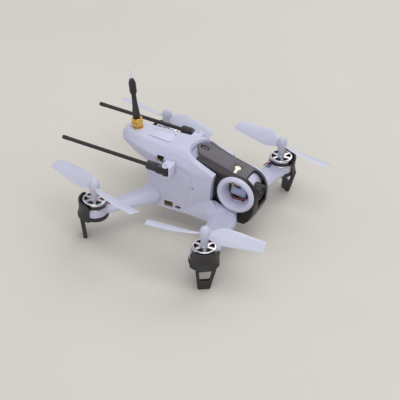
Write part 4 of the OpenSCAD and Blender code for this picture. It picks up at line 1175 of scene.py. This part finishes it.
def make_frame_screws():
    belly = [(0, 18.35), (0.75, 18.35), (0.8, 18.07), (1.85, 18.07), (1.9, 18.15), (1, 18.85),
             (0.95, 19.1), (0, 19.12)]
    visor = [(0, 0.1), (0.7, 0.1), (0.75, 0.55), (2, 0.5), (2.25, 0.2), (2.3, -0.1), (1.05, -1.1),
             (1.05, -6), (0, -6)]
    parts = [paint(lathe(belly, 32), DARK_STEEL, shift(x, y, 0)) for x, y in BELLY_SCREWS]
    parts.append(paint(lathe(visor, 32), DARK_STEEL, shift(13.4, 0.2, 63.75) @ turned("Y", TOP_SLOPE)))
    piece(parts, "canopy_and_belly_screws", "screw_steel", "frame_screws")


make_battery()
pin_header("servo_pin_header", "servo_header", ((-10, -15.9, 20), (-3.2, -13.4, 23.15)),
           -9.1, 5, 1.25, (20.75, 22.25), -17.4, -15.8, 0.6, 0.3)
make_usb_socket()
pin_header("receiver_pin_header", "receiver_pins", ((-15.8, -14.9, 55.1), (-10.4, -13.3, 57.6)),
           -15.3, 4, 1.5, (55.8, 57), -16.3, -14.8, 0.55, 0.28)
make_frame_screws()

# ---- finishes for the CAD nodes that stay ----

FINISH = {"motor_bearings": STEEL, "motor_screws": DARK_STEEL, "flight_controller": BOARD,
          "power_board": BOARD, "receiver_board": BOARD, "video_transmitter": BOARD}
for q in QUADS:
    FINISH["magnet_ring_" + q] = FLUX
    FINISH["motor_shaft_" + q] = STEEL
for node, finish in FINISH.items():
    for material_slot in frame["nodes"][node].material_slots:
        material_slot.material = finish

# ---- stage, light, camera ----


def area_light(name, place, target, size, power, colour):
    data = bpy.data.lights.new(name, "AREA")
    data.shape, data.size, data.energy, data.color = "DISK", size, power, colour
    lamp = new_object(name, data)
    lamp.location = place
    lamp.rotation_euler = (Vector(target) - Vector(place)).to_track_quat("-Z", "Y").to_euler()


def make_stage():
    floor = mesh_object([(-4, -4, 0), (4, -4, 0), (4, 4, 0), (-4, 4, 0)], [(0, 1, 2, 3)])
    floor.name = "floor"
    pale = surface("pale_floor", (0.67, 0.64, 0.56), 0.75, vary=0.015, patch=6, grain=300, bump=0.02,
                   specular=0.2)
    paint(floor, pale)
    world = bpy.data.worlds.new("studio")
    bpy.context.scene.world = world
    world.use_nodes = True
    sky = world.node_tree.nodes["Background"].inputs
    sky["Color"].default_value = (0.90, 0.92, 1, 1)
    sky["Strength"].default_value = 0.70
    area_light("key", (0.25, -0.2, 1.1), (0, 0, 0.03), 0.9, 3.4, (1, 0.985, 0.96))
    area_light("side", (0.3, -1.3, 0.3), (0, 0, 0.04), 1, 2.6, (0.97, 0.97, 1))
    area_light("back", (0.05, 1, 0.95), (0, 0, 0.04), 0.9, 4, (0.97, 0.95, 1))


def make_camera():
    data = bpy.data.cameras.new("camera")
    data.lens, data.sensor_width, data.clip_start = 121.95, 36, 0.01
    camera = new_object("camera", data)
    right, up = (0.89112, 0.45135, 0.04671), (-0.29652, 0.50132, 0.81287)
    back = (0.34348, -0.73822, 0.58057)
    turn = Matrix((right, up, back)).transposed().to_4x4()
    camera.matrix_world = shift(0.34577, -0.71984, 0.58367) @ turn
    bpy.context.scene.camera = camera


make_stage()
make_camera()
bpy.context.scene.view_settings.view_transform = "Standard"
